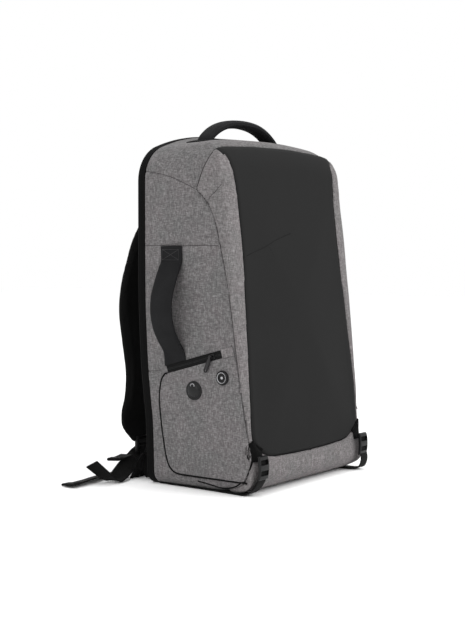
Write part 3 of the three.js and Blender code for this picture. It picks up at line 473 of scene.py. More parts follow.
def curved(points, steps=6):
    # the line drawn smoothly through its points
    out = []
    for i in range(len(points) - 1):
        p0 = Vector(points[max(i - 1, 0)])
        p1, p2 = Vector(points[i]), Vector(points[i + 1])
        p3 = Vector(points[min(i + 2, len(points) - 1)])
        for k in range(steps):
            t = k / steps
            spot = 0.5 * (2 * p1 + (p2 - p0) * t + (2 * p0 - 5 * p1 + 4 * p2 - p3) * t * t
                          + (3 * p1 - p0 - 3 * p2 + p3) * t ** 3)
            out.append(tuple(spot))
    out.append(tuple(points[-1]))
    return out


def offsetLine(line, away):
    out = []
    for i, (a, b) in enumerate(line):
        a0, b0 = line[max(i - 1, 0)]
        a1, b1 = line[min(i + 1, len(line) - 1)]
        long = math.hypot(a1 - a0, b1 - b0) or 1
        out.append((a - (b1 - b0) / long * away, b + (a1 - a0) / long * away))
    return out


# seams of the bag, from side and front
seams = {
    "border": [(0.3, 0.002), (0.24, 0.012), (0.175, 0.018), (0.11, 0.036), (0.065, 0.065), (0.045, 0.1),
               (0.062, 0.146), (0.115, 0.274), (0.166, 0.396), (0.218, 0.53), (0.246, 0.586), (0.31, 0.692),
               (0.367, 0.759), (0.428, 0.797), (0.527, 0.83)],
    "borderTop": [(0.527, 0.83), (0.494, 0.865), (0.447, 0.9), (0.41, 0.926), (0.385, 0.945), (0.378, 1),
                  (0.378, 1.1)],
    "panel": [(0, 0.095), (0.3, 0.096), (0.62, 0.1), (0.77, 0.114), (0.885, 0.142), (0.912, 0.176),
              (0.9, 0.272),
              (0.873, 0.4), (0.846, 0.53), (0.828, 0.6), (0.815, 0.7), (0.82, 0.8), (0.838, 0.86),
              (0.862, 0.904),
              (0.885, 0.926), (0.925, 0.94), (0.97, 1.1)],
    "edgeSink": 1.1, "cloth": 2.6,
    # distance from the seam and how far the cloth stands out there, in mm
    "borderRoll": [(-24, 0), (-14, -0.5), (-8, -1.2), (-4, -2), (0, -2.4), (2, -1.1), (5, 0.6), (10, 1.1),
                   (18, 0.4), (24, 0)],
    "panelRoll": [(-9, 0), (-4.5, 0.3), (-2, -0.2), (0, -1), (2, -0.4), (4.5, 0.4), (10, 0.2), (14, 0)],
    "lineRoll": [(-9, 0), (-5, 0.25), (-2, -0.25), (0, -1), (2, -0.25), (5, 0.25), (9, 0)],
}
borderLine = curved([(yAt(a), zAt(b)) for a, b in seams["border"]], 5)
borderTopLine = curved([(yAt(a), zAt(b)) for a, b in seams["borderTop"]], 4)
borderWhole = borderLine + borderTopLine[1:]
panelHalf = curved([(a * bag["half"], zAt(b)) for a, b in seams["panel"]], 5)

# sewn lines on the side: (y, z) as seen in the photo
sideSeams = {
    "upper": [(83, 449), (68, 447), (51, 443.5), (36, 439), (22, 433.5), (7, 427), (-5, 420.6)],
    "level": [(83, 344), (40, 343.5), (0, 343.5), (-44, 343.5)],
    "dart": [(-25, 403.5), (-36, 415), (-50, 427)],
    "short": [(80, 163.5), (66, 164.5), (57, 164.5)],
}
frontSeam = [(-124, 327), (-100, 334), (-75, 341), (-43, 352), (-6, 361)]


def sideOnly(centre, normal):
    return abs(normal.x) > 0.25


for key, points in sideSeams.items():
    line = curved(points, 4)
    score(bodyMesh, line, "side", (-5, -2, 0, 2, 5), sideOnly)
    press(bodyMesh, line, "side", seams["lineRoll"], sideOnly)


def frontFace(centre, normal):
    return centre.y < 0.01 and normal.z > -0.6


def frontHalf(sign, least):
    # the front's left or right half
    return lambda centre, normal: frontFace(centre, normal) and centre.x * sign > least


for sign in (1, -1):
    line = [(sign * a, b) for a, b in panelHalf]
    score(bodyMesh, line, "front", (-4.5, -2, 0, 2, 4.5), frontHalf(sign, -0.01))
line = curved(frontSeam, 4)
score(bodyMesh, line, "front", (-5, -2, 0, 2, 5), frontFace)
press(bodyMesh, line, "front", [(a, b * 0.6) for a, b in seams["lineRoll"]], frontFace)
score(bodyMesh, borderWhole, "side", (-14, -8, -4, 0, 2, 5, 10))
bodyMesh.normal_update()
# a soft fold over the dart, as in the photo
foldLine = [(-38, 417), (-36.5, 432), (-34, 450)]
score(bodyMesh, foldLine, "side", (-6, -3, 0, 3, 6), sideOnly)
press(bodyMesh, foldLine, "side", [(-8, 0.3), (-4, 0.1), (0, -1.5), (4, -0.5), (8, 0.2)], sideOnly)

frontSide = borderWhole + [(-400, borderWhole[-1][1]), (-400, -60), (borderWhole[0][0], -60)]
panelShape = panelHalf + [(-a, b) for a, b in reversed(panelHalf)]


def zoneOf(face):
    centre = face.calc_center_median()
    if not inside(frontSide, centre.y / mm, centre.z / mm):
        return "main"
    return "panel" if inside(panelShape, centre.x / mm, centre.z / mm) and centre.z > 0.04 else "border"


bodyMesh.faces.ensure_lookup_table()
bodyMesh.faces.index_update()
zones = [zoneOf(face) for face in bodyMesh.faces]
for sign in (1, -1):
    line = [(sign * a, b) for a, b in panelHalf]
    roll = seams["panelRoll"] if sign > 0 else [(-a, b) for a, b in reversed(seams["panelRoll"])]
    press(bodyMesh, line, "front", roll, frontHalf(sign, 0))
press(bodyMesh, borderWhole, "side", seams["borderRoll"])


def zonePiece(name, zone, cloth):
    # one sewn panel of the bag: its edges dip into the seams and it gets the cloth's thickness
    part = bodyMesh.copy()
    part.faces.ensure_lookup_table()
    drop = [face for face, kind in zip(part.faces, zones) if kind != zone]
    bmesh.ops.delete(part, geom=drop, context="FACES")
    part.normal_update()
    for vertex in part.verts:
        if vertex.is_boundary and vertex.co.y / mm < backAt(vertex.co.z / mm) - 1:
            vertex.co -= vertex.normal * seams["edgeSink"] * mm
    return fromSheet(name, part, cloth)


mainBody = zonePiece("bagBody", "main", seams["cloth"])
frontBorder = zonePiece("bagBorder", "border", seams["cloth"])
frontPanel = zonePiece("bagFront", "panel", seams["cloth"])
bpy.data.objects.remove(bodyBase)
# skins and piping lie on the pressed form
basePart = bpy.data.meshes.new("basePart")
bodyMesh.normal_update()
bodyMesh.to_mesh(basePart)
bodyTree = BVHTree.FromBMesh(bodyMesh)
print("bag panels made")


# padding filled by a cloth simulation
filling = {"pressure": 4, "frames": 20, "strapVoxel": 3.0, "strapCap": 2.0, "backVoxel": 5.0, "backCap": 1.6}


def puffed(piece, voxel, cap, hold):
    # the pad is remeshed, blown up a little as cloth and held back near what it touches
    pick(piece)
    addModifier(piece, "REMESH", mode="VOXEL", voxel_size=voxel * mm)
    applyAll(piece)
    start = [vertex.co.copy() for vertex in piece.data.vertices]
    cloth = addModifier(piece, "CLOTH")
    cloth.settings.use_pressure = True
    cloth.settings.uniform_pressure_force = filling["pressure"]
    cloth.settings.quality = 4
    cloth.settings.effector_weights.gravity = 0
    cloth.collision_settings.use_collision = False
    for number in range(1, filling["frames"] + 1):
        bpy.context.scene.frame_set(number)
    applyAll(piece)
    bpy.context.scene.frame_set(1)
    for vertex, before in zip(piece.data.vertices, start):
        move = (vertex.co - before) * hold(before)
        if move.length > cap * mm:
            move = move.normalized() * cap * mm
        vertex.co = before + move
    addModifier(piece, "SUBSURF", levels=1, render_levels=1)
    applyAll(piece)
    smooth(piece, 60)


# cords, bands and skins
def sweep(name, spots, sections, uv=True, caps=True):
    # spots: (place, across, out) in mm; sections: one list of (across, out) pairs for each spot
    rows = []
    for (place, across, out), section in zip(spots, sections):
        rows.append([tuple(place + across * a + out * b) for a, b in section])
    return gridPiece(name, rows, closed=True, caps=caps, uv=uv)


def circleOf(radius, sides=8):
    return [(radius * math.cos(2 * math.pi * i / sides), radius * math.sin(2 * math.pi * i / sides))
            for i in range(sides)]


def piping(name, found, radius, sink=0.2, sides=8):
    # a thin cord sewn in a seam; found holds (point, normal) on the bag in metres
    spots = []
    for i, (point, normal) in enumerate(found):
        before = found[max(i - 1, 0)][0]
        after = found[min(i + 1, len(found) - 1)][0]
        ahead = (after - before).normalized()
        out = (normal - ahead * normal.dot(ahead)).normalized()
        spots.append((point / mm - out * sink, ahead.cross(out), out))
    piece = sweep(name, spots, [circleOf(radius, sides)] * len(spots), uv=False)
    smooth(piece, 60)
    return piece


def bandSection(width, thick, lens=0.0, corner=0.35, steps=8):
    # rounded strip; lens makes its middle thicker than its edges
    a, b = width / 2, thick / 2
    cut = min(corner * thick, b * 0.95)
    top = []
    for i in range(steps + 1):
        x = (-a + cut) + (2 * a - 2 * cut) * i / steps
        high = b * (1 - lens * (abs(x) / a) ** 2.2)
        top.append((x, high))
    low = [(x, -y) for x, y in reversed(top)]
    edge = b * (1 - lens)
    return low + [(-a, -edge * 0.45), (-a, edge * 0.45)] + top + [(a, edge * 0.45), (a, -edge * 0.45)]


def routePoint(places, share):
    # the same smooth curve as the strap's solid follows
    count = len(places)
    at = (count - 1) * share
    index = min(int(at), count - 1)
    weight = at - index
    if weight == 0 and index == count - 1:
        index, weight = count - 2, 1.0
    p1, p2 = places[index], places[index + 1]
    p0 = places[index - 1] if index > 0 else p1 * 2 - p2
    p3 = places[index + 2] if index + 2 < count else p2 * 2 - p1
    d0, d1, d2 = ((p1 - p0).length_squared ** 0.25, (p2 - p1).length_squared ** 0.25,
                  (p3 - p2).length_squared ** 0.25)
    d1 = d1 if d1 > 1e-4 else 1.0
    d0 = d0 if d0 > 1e-4 else d1
    d2 = d2 if d2 > 1e-4 else d1
    t1 = ((p1 - p0) / d0 - (p2 - p0) / (d0 + d1) + (p2 - p1) / d1) * d1
    t2 = ((p2 - p1) / d1 - (p3 - p1) / (d1 + d2) + (p3 - p2) / d2) * d1
    w2, w3 = weight ** 2, weight ** 3
    return p1 + t1 * weight + (p2 * 3 - p1 * 3 - t1 * 2 - t2) * w2 + (p1 * 2 - p2 * 2 + t1 + t2) * w3


def stop(place, width, thick, **more):
    # one row of a strap's route
    return {"place": place, "width": width, "thick": thick, **more}


def routeOf(keys, steps, across=None):
    places = [key["place"] for key in keys]
    spots, sizes = [], []
    for i in range(steps + 1):
        share = i / steps
        low = min(int(share * (len(keys) - 1)), len(keys) - 2)
        between = share * (len(keys) - 1) - low
        ahead = (routePoint(places, min(share + 1e-4, 1))
                 - routePoint(places, max(share - 1e-4, 0))).normalized()
        wide = across.copy() if across else keys[low]["across"].lerp(keys[low + 1]["across"], between)
        side = (wide - ahead * wide.dot(ahead)).normalized()
        spots.append((routePoint(places, share), side, ahead.cross(side).normalized()))
        sizes.append(tuple(keys[low][k] + (keys[low + 1][k] - keys[low][k]) * between
                           for k in ("width", "thick")))
    return spots, sizes


def webbingPiece(name, route, lens=0.0, corner=0.35, steps=8):
    spots, sizes = route
    piece = sweep(name, spots, [bandSection(w, t, lens, corner, steps) for w, t in sizes])
    smooth(piece, 40)
    return piece


def skinPiece(name, outline, view, lift, thick, sign=-1, edge=0.5):
    # cloth or tape laid on the bag inside an outline seen from the side, front or top
    part = bmesh.new()
    part.from_mesh(basePart)
    ring = outline + [outline[0]]
    if view == "side":
        fits = lambda centre, normal: centre.x * sign > 0 and abs(normal.x) > 0.2
    elif view == "front":
        fits = lambda centre, normal: normal.y < -0.15
    else:
        fits = lambda centre, normal: normal.z > 0.3
    score(part, ring, view, allowed=fits, reach=14)
    drop = []
    for face in part.faces:
        centre = face.calc_center_median()
        if not (fits(centre, face.normal) and inside(outline, *flatOf(centre, view))):
            drop.append(face)
    bmesh.ops.delete(part, geom=drop, context="FACES")
    part.normal_update()
    for vertex in part.verts:
        vertex.co += vertex.normal * (lift - (edge if vertex.is_boundary else 0)) * mm
    return fromSheet(name, part, thick)


pieces = {}

# seam lines: piping and stitched seams on the bag
seamCord = {"radius": 0.85, "sink": 0.75}


def sideLine(points, sign=-1, lift=0.0, steps=6):
    return [onSide(a, b, sign, lift) for a, b in curved(points, steps)]


for label, sign in (("Left", -1), ("Right", 1)):
    run = [onSide(a, b, sign) for a, b in borderLine if b > 14]
    across = run[-1][0].x / mm
    topRun = []
    for a, b in borderTopLine:
        if b < 480:
            topRun.append(onSide(a, b, sign))
    pieces["borderPiping" + label] = piping("borderPiping" + label, run + topRun[1:], seamCord["radius"],
                                            seamCord["sink"])
    # the black cord along the front panel's edge is partly real piping and partly a painted shadow line where
    # the panel stands proud
    front = [onFront(sign * a, b) for a, b in panelHalf if b < 470]
    pieces["panelPiping" + label] = piping("panelPiping" + label, front, seamCord["radius"], seamCord["sink"])

for label, sign in (("Left", -1), ("Right", 1)):
    for key, points in sideSeams.items():
        pieces[key + "Seam" + label] = piping(key + "Seam" + label, sideLine(points, sign), 0.5, 0.15, 6)
pieces["frontSeam"] = piping("frontSeam", [onFront(a, b) for a, b in curved(frontSeam, 5)], 0.45, 0.25, 6)

# back: gusset and padded panel
gussetForm = {"proud": 1.2, "wall": 9, "edge": 3, "crown": 9}


def rimRing(grow, behind):
    return bodyRing(grow, 0, 0, lambda z, nx, nz: backAt(z) + behind)


def gussetRows():
    g, depthOf = gussetForm, bag["gussetDepth"]
    profile = [(-g["wall"], 0.4), (-4, 0.35), (g["proud"] - 1.4, 0.35), (g["proud"] - 0.5, 0.8),
               (g["proud"], 2.2),
               (g["proud"] - 0.35, 3.4), (g["proud"] - 0.1, 5), (g["proud"] + 0.2, 7),
               (g["proud"] - 0.1, 9.2),
               (g["proud"] - 0.4, 10.4), (g["proud"] - 0.1, 11.6), (g["proud"] - 0.9, 13.1),
               (g["proud"] - 2.2, depthOf),
               (-4, depthOf), (-g["wall"], depthOf - 1.2)]
    return [rimRing(grow, behind) for grow, behind in profile]


gussetBand = gridPiece("gussetBand", gussetRows() + [gussetRows()[0]], closed=True, caps=False, uv=False)
smooth(gussetBand, 40)
pieces["gussetBand"] = gussetBand


def backRows():
    rows = []
    grow = -gussetForm["wall"] - 0.6
    for behind, extra in ((0.8, 0), (5, 0), (9.5, 0), (11.2, -1.2)):
        rows.append(rimRing(grow + extra, behind))
    rim = rows[-1]
    middle = bag["height"] / 2
    for shrink in (0.97, 0.94, 0.9, 0.85, 0.79, 0.72, 0.64, 0.55, 0.46, 0.37, 0.28, 0.19, 0.1, 0.03, 0.0):
        row = []
        for x, y, z in rim:
            zz = middle + (z - middle) * shrink
            xx = x * shrink
            swell = gussetForm["crown"] * math.sqrt(1 - shrink ** 2)
            # an air channel runs down the middle and two lie across it
            down = max(0, 1 - (xx / 17) ** 2) if 55 < zz < 430 else 0
            cross = max(max(0, 1 - ((zz - at) / 10) ** 2) for at in (170, 300))
            swell -= 4.2 * max(down ** 1.5, 0.75 * cross ** 1.5)
            row.append((xx, backAt(zz) + 11.2 + swell, zz))
        rows.append(row)
    return rows


backPad = gridPiece("backPad", backRows(), closed=True, caps=False, uv=False)


def closeEnds():
    bpy.ops.mesh.select_all(action="DESELECT")
    bpy.ops.mesh.select_non_manifold()
    bpy.ops.mesh.fill_holes(sides=0)
    bpy.ops.mesh.select_all(action="SELECT")
    bpy.ops.mesh.normals_make_consistent(inside=False)


editAll(backPad, closeEnds)
smooth(backPad, 50)
puffed(backPad, filling["backVoxel"], filling["backCap"],
       lambda co: min(max((co.y / mm - backAt(co.z / mm) - 14) / 4, 0), 1))
pieces["backPad"] = backPad
# the stitched channels of the padded back, laid on its own surface
padForm = bmesh.new()
padForm.from_mesh(backPad.data)
padTree = BVHTree.FromBMesh(padForm)


def onBack(x, z):
    hit, normal, _, _ = padTree.ray_cast(Vector((x * mm, 0.4, z * mm)), Vector((0, -1, 0)))
    return hit, normal


for name, line in {"backSeamLeft": [(-17, 60), (-17, 425)], "backSeamRight": [(17, 60), (17, 425)],
                   "backSeamLow": [(-100, 170), (100, 170)],
                   "backSeamHigh": [(-100, 300), (100, 300)]}.items():
    (a0, b0), (a1, b1) = line
    pieces[name] = piping(name,
                          [onBack(a0 + (a1 - a0) * i / 40, b0 + (b1 - b0) * i / 40) for i in range(41)], 0.8,
                          0.2, 6)
print("back made")

# side pocket, zip and its cover
pocket = {
    "rows": [(0.815, 0.319), (0.85, 0.3), (0.866, 0.27), (0.87, 0.235), (0.848, 0.15), (0.822, 0.087),
             (0.79, 0.056), (0.73, 0.04), (0.62, 0.037), (0.4, 0.037), (0.2, 0.037), (0.07, 0.037)],
    "skin": 1.7, "lift": 0.3, "zipWidth": 10.5, "zipLength": 100, "zipRise": 26.5, "garage": 21,
    "tape": 1.3, "cover": 1.9,
}
zipStart = (yAt(0.793), zAt(0.3315))
zipTurn = math.asin(pocket["zipRise"] / pocket["zipLength"])


def zipPoint(along, across):
    return (zipStart[0] - math.cos(zipTurn) * along - math.sin(zipTurn) * across,
            zipStart[1] + math.sin(zipTurn) * along - math.cos(zipTurn) * across)


halfZip = pocket["zipWidth"] / 2
rearEdge = curved([(yAt(a), zAt(b)) for a, b in pocket["rows"]], 4)
seamEdge = [p for p in borderLine if p[1] > 20 and p[1] < zipPoint(pocket["zipLength"], 0)[1] + 6]
seamEdge = [(a + 0.8, b) for a, b in offsetLine(seamEdge, -0.6)]
garageStart = pocket["zipLength"] + 0.3
pocketShape = ([p for p in rearEdge if p[0] > seamEdge[0][0]] + seamEdge
               + [zipPoint(garageStart + 18, halfZip + 1.3), zipPoint(garageStart, halfZip + 1.3),
                  zipPoint(garageStart, halfZip + 0.3), zipPoint(0.3, halfZip + 0.3)])
pieces["pocketPanel"] = skinPiece("pocketPanel", pocketShape, "side", pocket["lift"] + pocket["skin"], 1.6)
tapeShape = [zipPoint(0, halfZip), zipPoint(pocket["zipLength"], halfZip),
             zipPoint(pocket["zipLength"], -halfZip), zipPoint(0, -halfZip)]
pieces["zipTape"] = skinPiece("zipTape", tapeShape, "side", pocket["lift"] + pocket["tape"], 1.2, edge=0.1)
garageEnd = pocket["garage"] + pocket["zipLength"]
garageShape = [zipPoint(garageStart, halfZip + 1), zipPoint(garageEnd - 1.5, halfZip + 1),
               zipPoint(garageEnd - 1.5, -halfZip - 1), zipPoint(garageStart, -halfZip - 1)]
pieces["zipGarage"] = skinPiece("zipGarage", garageShape, "side", pocket["lift"] + pocket["cover"], 1.8,
                                edge=0.3)
pocketLine = [zipPoint(-1, halfZip + 0.4)] + [p for p in rearEdge]
pieces["pocketPiping"] = piping("pocketPiping", [onSide(a, b, -1, 1.3) for a, b in pocketLine], 1.4, 0.0)
for name, away in (("zipLipLow", halfZip - 0.2), ("zipLipHigh", -halfZip + 0.2)):
    run = [onSide(*zipPoint(along, away), -1, 1.5) for along in range(0, 101, 4)]
    pieces[name] = piping(name, run, 0.6, 0.1, 6)
for name, away in (("zipCoilLow", 0.75), ("zipCoilHigh", -0.75)):
    run = [onSide(*zipPoint(along / 2, away), -1, 1.55 + (0.25 if along % 2 else 0))
           for along in range(2, 198)]
    pieces[name] = piping(name, run, 0.55, 0.1, 6)
print("pocket made")


# round fittings
def turned(name, profile, y, z, seat, sides=48, capped=True):
    # profile rows (radius, height) above the pocket, turned round an axis that leaves the side
    base = -bag["half"] * widthAt(z) - seat
    rows = []
    for radius, height in profile:
        rows.append([(base - height, y + radius * math.cos(2 * math.pi * i / sides),
                      z + radius * math.sin(2 * math.pi * i / sides)) for i in range(sides)])
    piece = gridPiece(name, rows, closed=True, caps=capped, uv=False)
    smooth(piece, 40)
    return piece


seat = 2.3
cap = {"radius": 13.5, "height": 5, "y": yAt(0.539), "z": zAt(0.278)}
r, h = cap["radius"], cap["height"]
pieces["portCap"] = turned("portCap",
                           [(r - 0.3, -1.6), (r, -1.3), (r, 0.9), (r - 0.35, 1.45), (r - 1.1, 1.7),
                            (r - 1.9, 1.6),
                                       (r - 2.4, 1.35), (r - 2.9, 1.7), (r - 3.4, 2.6), (r * 0.68, 3.6),
                                       (r * 0.5, 4.3),
                                       (r * 0.3, 4.8), (r * 0.1, h)], cap["y"], cap["z"], seat)
port = {"radius": 10.2, "height": 3.2, "bore": 6.9, "y": yAt(0.27), "z": zAt(0.3195)}
r, h = port["radius"], port["height"]
pieces["audioRing"] = turned("audioRing",
                             [(r - 0.3, -1.6), (r, -1.3), (r, 1.2), (r - 0.4, 2.2), (r - 1.2, h - 0.2),
                              (r - 2, h),
                                           (port["bore"] + 0.8, h - 0.2), (port["bore"], h - 0.9),
                                           (port["bore"] - 0.2, 1.5),
                                           (port["bore"] * 0.5, 1.45), (0.6, 1.45)], port["y"], port["z"],
                                           seat)
# moulded lip at the top of the cap, light grey as a painted highlight, and the socket's edge ring and pin,
# light grey as painted highlights
capFace = -bag["half"] * widthAt(cap["z"]) - seat - 3.75
capHighlightLine = [(3.3, 6.2), (3.1, 8.2), (1.6, 9.4), (0, 9.8), (-1.6, 9.4), (-3.1, 8.2), (-3.3, 6.2)]
capHighlightRun = [(Vector((capFace + (0.5 if b > 9 else 0), cap["y"] + a, cap["z"] + b)) * mm, Vector((-1, 0, 0)))
          for a, b in capHighlightLine]
pieces["capHighlightLip"] = piping("capHighlightLip", capHighlightRun, 0.65, 0.0, 6)
edge = port["bore"]
# the socket's edge ring and pin are light grey pieces: painted highlights
pieces["audioHighlightRing"] = turned("audioHighlightRing",
                             [(edge - 0.2, 2.3), (edge - 0.1, 2.9), (edge + 0.3, 3.3), (edge + 0.6, 3.3),
                                           (edge + 0.9, 2.7), (edge - 0.2, 2.3)], port["y"], port["z"], seat,
                                           capped=False)
pieces["audioHighlightPin"] = turned("audioHighlightPin", [(1.9, 1.5), (1.9, 2.1), (1.5, 2.4), (0.9, 2.45)], port["y"],
                            port["z"], seat, 24)
print("ports made")

# handles
upHandle = {
    "rows": [(1.02, -0.3), (1, 0), (0.9, 0.27), (0.78, 0.5), (0.6, 0.74), (0.38, 0.91), (0, 1)],
    "span": 87, "rise": 33, "width": 26, "thick": 12, "place": 31, "tab": 17,
}


def archRoute(steps=64):
    foot = bag["height"] - bag["topFall"]
    crest = foot + upHandle["rise"] - upHandle["thick"] / 2
    half = [(a * (upHandle["span"] - upHandle["thick"] / 2), foot + b * (crest - foot))
            for a, b in upHandle["rows"]]
    path = [(-a, b) for a, b in half] + list(reversed(half[:-1]))
    keys = [stop(Vector((a, upHandle["place"], b)), upHandle["width"], upHandle["thick"]) for a, b in path]
    return routeOf(keys, steps, Vector((0, 1, 0)))


spots, sizes = archRoute()


def keepAbove(route, lift):
    # drops the ends of a route that would lie inside the bag
    spots, sizes = route
    kept = [i for i, (place, _, _) in enumerate(spots)
            if place.z > onTop(place.x, place.y)[0].z / mm + lift]
    return [spots[i] for i in kept], [sizes[i] for i in kept]


handleRoute = keepAbove((spots, sizes), -4.5)
sections = []
for i, (w, t) in enumerate(handleRoute[1]):
    sections.append(bandSection(w, t, 0.35, 0.3, 12))
pieces["topHandle"] = sweep("topHandle", handleRoute[0], sections)
smooth(pieces["topHandle"], 45)
for label, sign in (("Left", -1), ("Right", 1)):
    near, far = sorted((sign * (upHandle["span"] - upHandle["tab"]),
                        sign * (upHandle["span"] + upHandle["tab"])))
    low, high = upHandle["place"] - upHandle["tab"], upHandle["place"] + upHandle["tab"]
    shape = [(near, low), (far, low), (far, high), (near, high)]
    pieces["handleTab" + label] = skinPiece("handleTab" + label, shape, "top", 1.6, 1.3, edge=0.3)

sideGrip = {
    "rows": [(0, 0, 0), (0.13, 0, 0.1), (0.17, 0.08, 1), (0.28, 0.5, 1), (0.42, 0.92, 1), (0.55, 1, 1),
             (0.68, 0.8, 1),
             (0.78, 0.4, 1), (0.85, 0.06, 0.8), (0.89, 0, 0.1), (1, 0, 0)],
    "length": 172, "width": 38, "standOff": 24, "pad": 7, "end": 2.6, "top": zAt(0.677),
    "topY": yAt(0.745), "footY": yAt(0.715),
}


def gripRoute(steps=72):
    g, keys = sideGrip, []
    for along, off, pad in g["rows"]:
        z = g["top"] - along * g["length"]
        thick = g["end"] + (g["pad"] - g["end"]) * pad
        y = g["topY"] + (g["footY"] - g["topY"]) * along
        surface = bag["half"] * widthAt(z) * (1 + bag["rimFlare"] / bag["half"] * max(y / bag["back"], 0))
        keys.append(stop(Vector((-surface - 0.3 - thick / 2 - off * g["standOff"], y, z)), g["width"], thick))
    return routeOf(keys, steps, Vector((0, -1, 0)))


spots, sizes = gripRoute()
sections = [bandSection(w, t, 0.3 if t > 4 else 0.05, 0.3, 12) for w, t in sizes]
pieces["sideHandle"] = sweep("sideHandle", spots, sections)


def cutAtZip():
    # the foot of the handle ends along the slanting zip
    above = zipPoint(0, -halfZip - 0.3)
    lean = (0, math.sin(zipTurn), math.cos(zipTurn))
    bpy.ops.mesh.bisect(plane_co=(0, above[0] * mm, above[1] * mm), plane_no=lean, use_fill=True,
                        clear_inner=True)
    bpy.ops.mesh.normals_make_consistent(inside=False)


editAll(pieces["sideHandle"], cutAtZip)
smooth(pieces["sideHandle"], 45)
# sewn box with its cross at the top end of the side handle
patch = {"low": 0.03, "high": 0.115, "half": 15, "out": 0.1}
patchHigh = sideGrip["top"] - patch["low"] * sideGrip["length"]
patchLow = sideGrip["top"] - patch["high"] * sideGrip["length"]


def onGrip(a, z):
    surface = bag["half"] * widthAt(z) * (1 + bag["rimFlare"] / bag["half"]
                                          * max(sideGrip["topY"] / bag["back"], 0))
    swell = (sideGrip["pad"] - sideGrip["end"]) * 0.1 * (sideGrip["top"] - z) / (0.13 * sideGrip["length"])
    face = -surface - 0.3 - sideGrip["end"] - swell - patch["out"]
    return Vector((face, sideGrip["topY"] + a, z)) * mm, Vector((-1, 0, 0))


corners = [(-patch["half"], patchHigh), (patch["half"], patchHigh), (patch["half"], patchLow),
           (-patch["half"], patchLow)]
stitchLines = {"gripStitchBox": corners + [corners[0]], "gripStitchUp": [corners[0], corners[2]],
               "gripStitchDown": [corners[1], corners[3]]}
for name, line in stitchLines.items():
    pieces[name] = piping(name, [onGrip(a, z) for a, z in line], 0.3, 0.0, 6)
print("handles made")

# front foot: tabs, buckles and base straps
foot = {
    "tab": [(0.92, 0.152), (0.78, 0.126), (0.8, 0.112), (0.8, 0.094), (0.968, 0.094), (0.968, 0.136)],
    "web": 19, "thick": 1.8, "lift": 1.05, "line": 0.875, "top": 0.112, "length": 33, "wide": 21, "deep": 4,
    "bow": 2.4,
    "left": [(0.875, -0.012, 0.098), (0.875, -0.018, 0.062), (0.877, 0.004, 0.034), (0.88, 0.055, 0.012),
             (0.88, 0.12, 0.001), (0.88, 0.18, 0), (0.865, 0.42, 0), (0.865, 0.93, 0)],
    "right": [(0.875, -0.012, 0.098), (0.875, -0.022, 0.062), (0.89, -0.028, 0.03), (0.885, -0.005, 0.008),
              (0.88, 0.06, 0.001), (0.875, 0.18, 0), (0.865, 0.42, 0), (0.865, 0.93, 0)],
}


def buckleAt(name, sign):
    # bowed ladder buckle: a block bent outwards with two cross bars left between its slots
    settle()
    face = yAt(0) - foot["thick"] / 2 - 0.3
    centre = sign * foot["line"] * bag["half"]
    steps = 24
    rows = []
    for i in range(steps + 1):
        share = i / steps
        bow = foot["bow"] * (1 - (2 * share - 1) ** 2)
        z = zAt(foot["top"]) - foot["length"] * share
        thick = foot["deep"] + bow * 0.4
        if i in (0, steps):
            thick *= 0.6
        y = face - bow * 0.6 - thick / 2
        half = foot["wide"] / 2 * (1 - 0.06 * (2 * share - 1) ** 6)
        section = bandSection(half * 2, thick, 0.1, 0.25, 10)
        rows.append([(centre + a, y - b, z) for a, b in section])
    block = gridPiece(name, rows, closed=True, caps=True, uv=False)
    for low, high in ((0.15, 0.37), (0.6, 0.82)):
        middle = zAt(foot["top"]) - foot["length"] * (low + high) / 2
        cutBox(block, (centre, face, middle), (foot["web"] - 1.5, 30, foot["length"] * (high - low)), 1.2)
    roundEdges(block, 0.35, 2, 50)
    return block


for label, sign in (("Left", -1), ("Right", 1)):
    keys = [stop(Vector((sign * a * bag["half"], yAt(b), foot["lift"] + zAt(c))), foot["web"], foot["thick"])
            for a, b, c in foot[label.lower()]]
    route = routeOf(keys, 66, Vector((1, 0, 0)))
    pieces["baseStrap" + label] = webbingPiece("baseStrap" + label, route)
    shape = [(sign * a * bag["half"], zAt(b)) for a, b in foot["tab"]]
    pieces["cornerTab" + label] = skinPiece("cornerTab" + label, shape, "front", 2.0, 1.8, edge=0.3)
    pieces["cornerBuckle" + label] = buckleAt("cornerBuckle" + label, sign)
# dark cord round the lower front corner and a short light seam, placed by what the photo shows
footLines = {"footPiping": [(198, 481), (205, 483), (212, 485), (223, 488), (236, 486.5), (245, 478),
                            (251.7, 464.5), (253, 450),
                            (248, 443)],
             "footSeam": [(245.5, 439), (248.8, 441.8), (252, 444.5)]}


def onPhoto(px, py):
    # where the photo's line of sight through a pixel meets the bag
    focus = camera["lens"] / 36 * 620
    turn, down = math.radians(-camera["azimuth"]), math.radians(camera["down"])
    ahead = Vector((math.sin(turn) * math.cos(down), math.cos(turn) * math.cos(down), -math.sin(down)))
    right = Vector((math.cos(turn), -math.sin(turn), 0))
    up = right.cross(ahead)
    way = ahead + right * (px - 232.5) / focus + up * (310 - py) / focus
    hit, normal, _, _ = bodyTree.ray_cast(Vector(camera["place"]) * mm, way.normalized())
    return hit, normal


for name, line in footLines.items():
    run = [spot for spot in (onPhoto(a, b) for a, b in curved(line, 3)) if spot[0]]
    print(name, len(run))
    if len(run) > 2:
        pieces[name] = piping(name, run, 1.25 if name == "footPiping" else 0.5, 0.2, 6)
print("foot made")

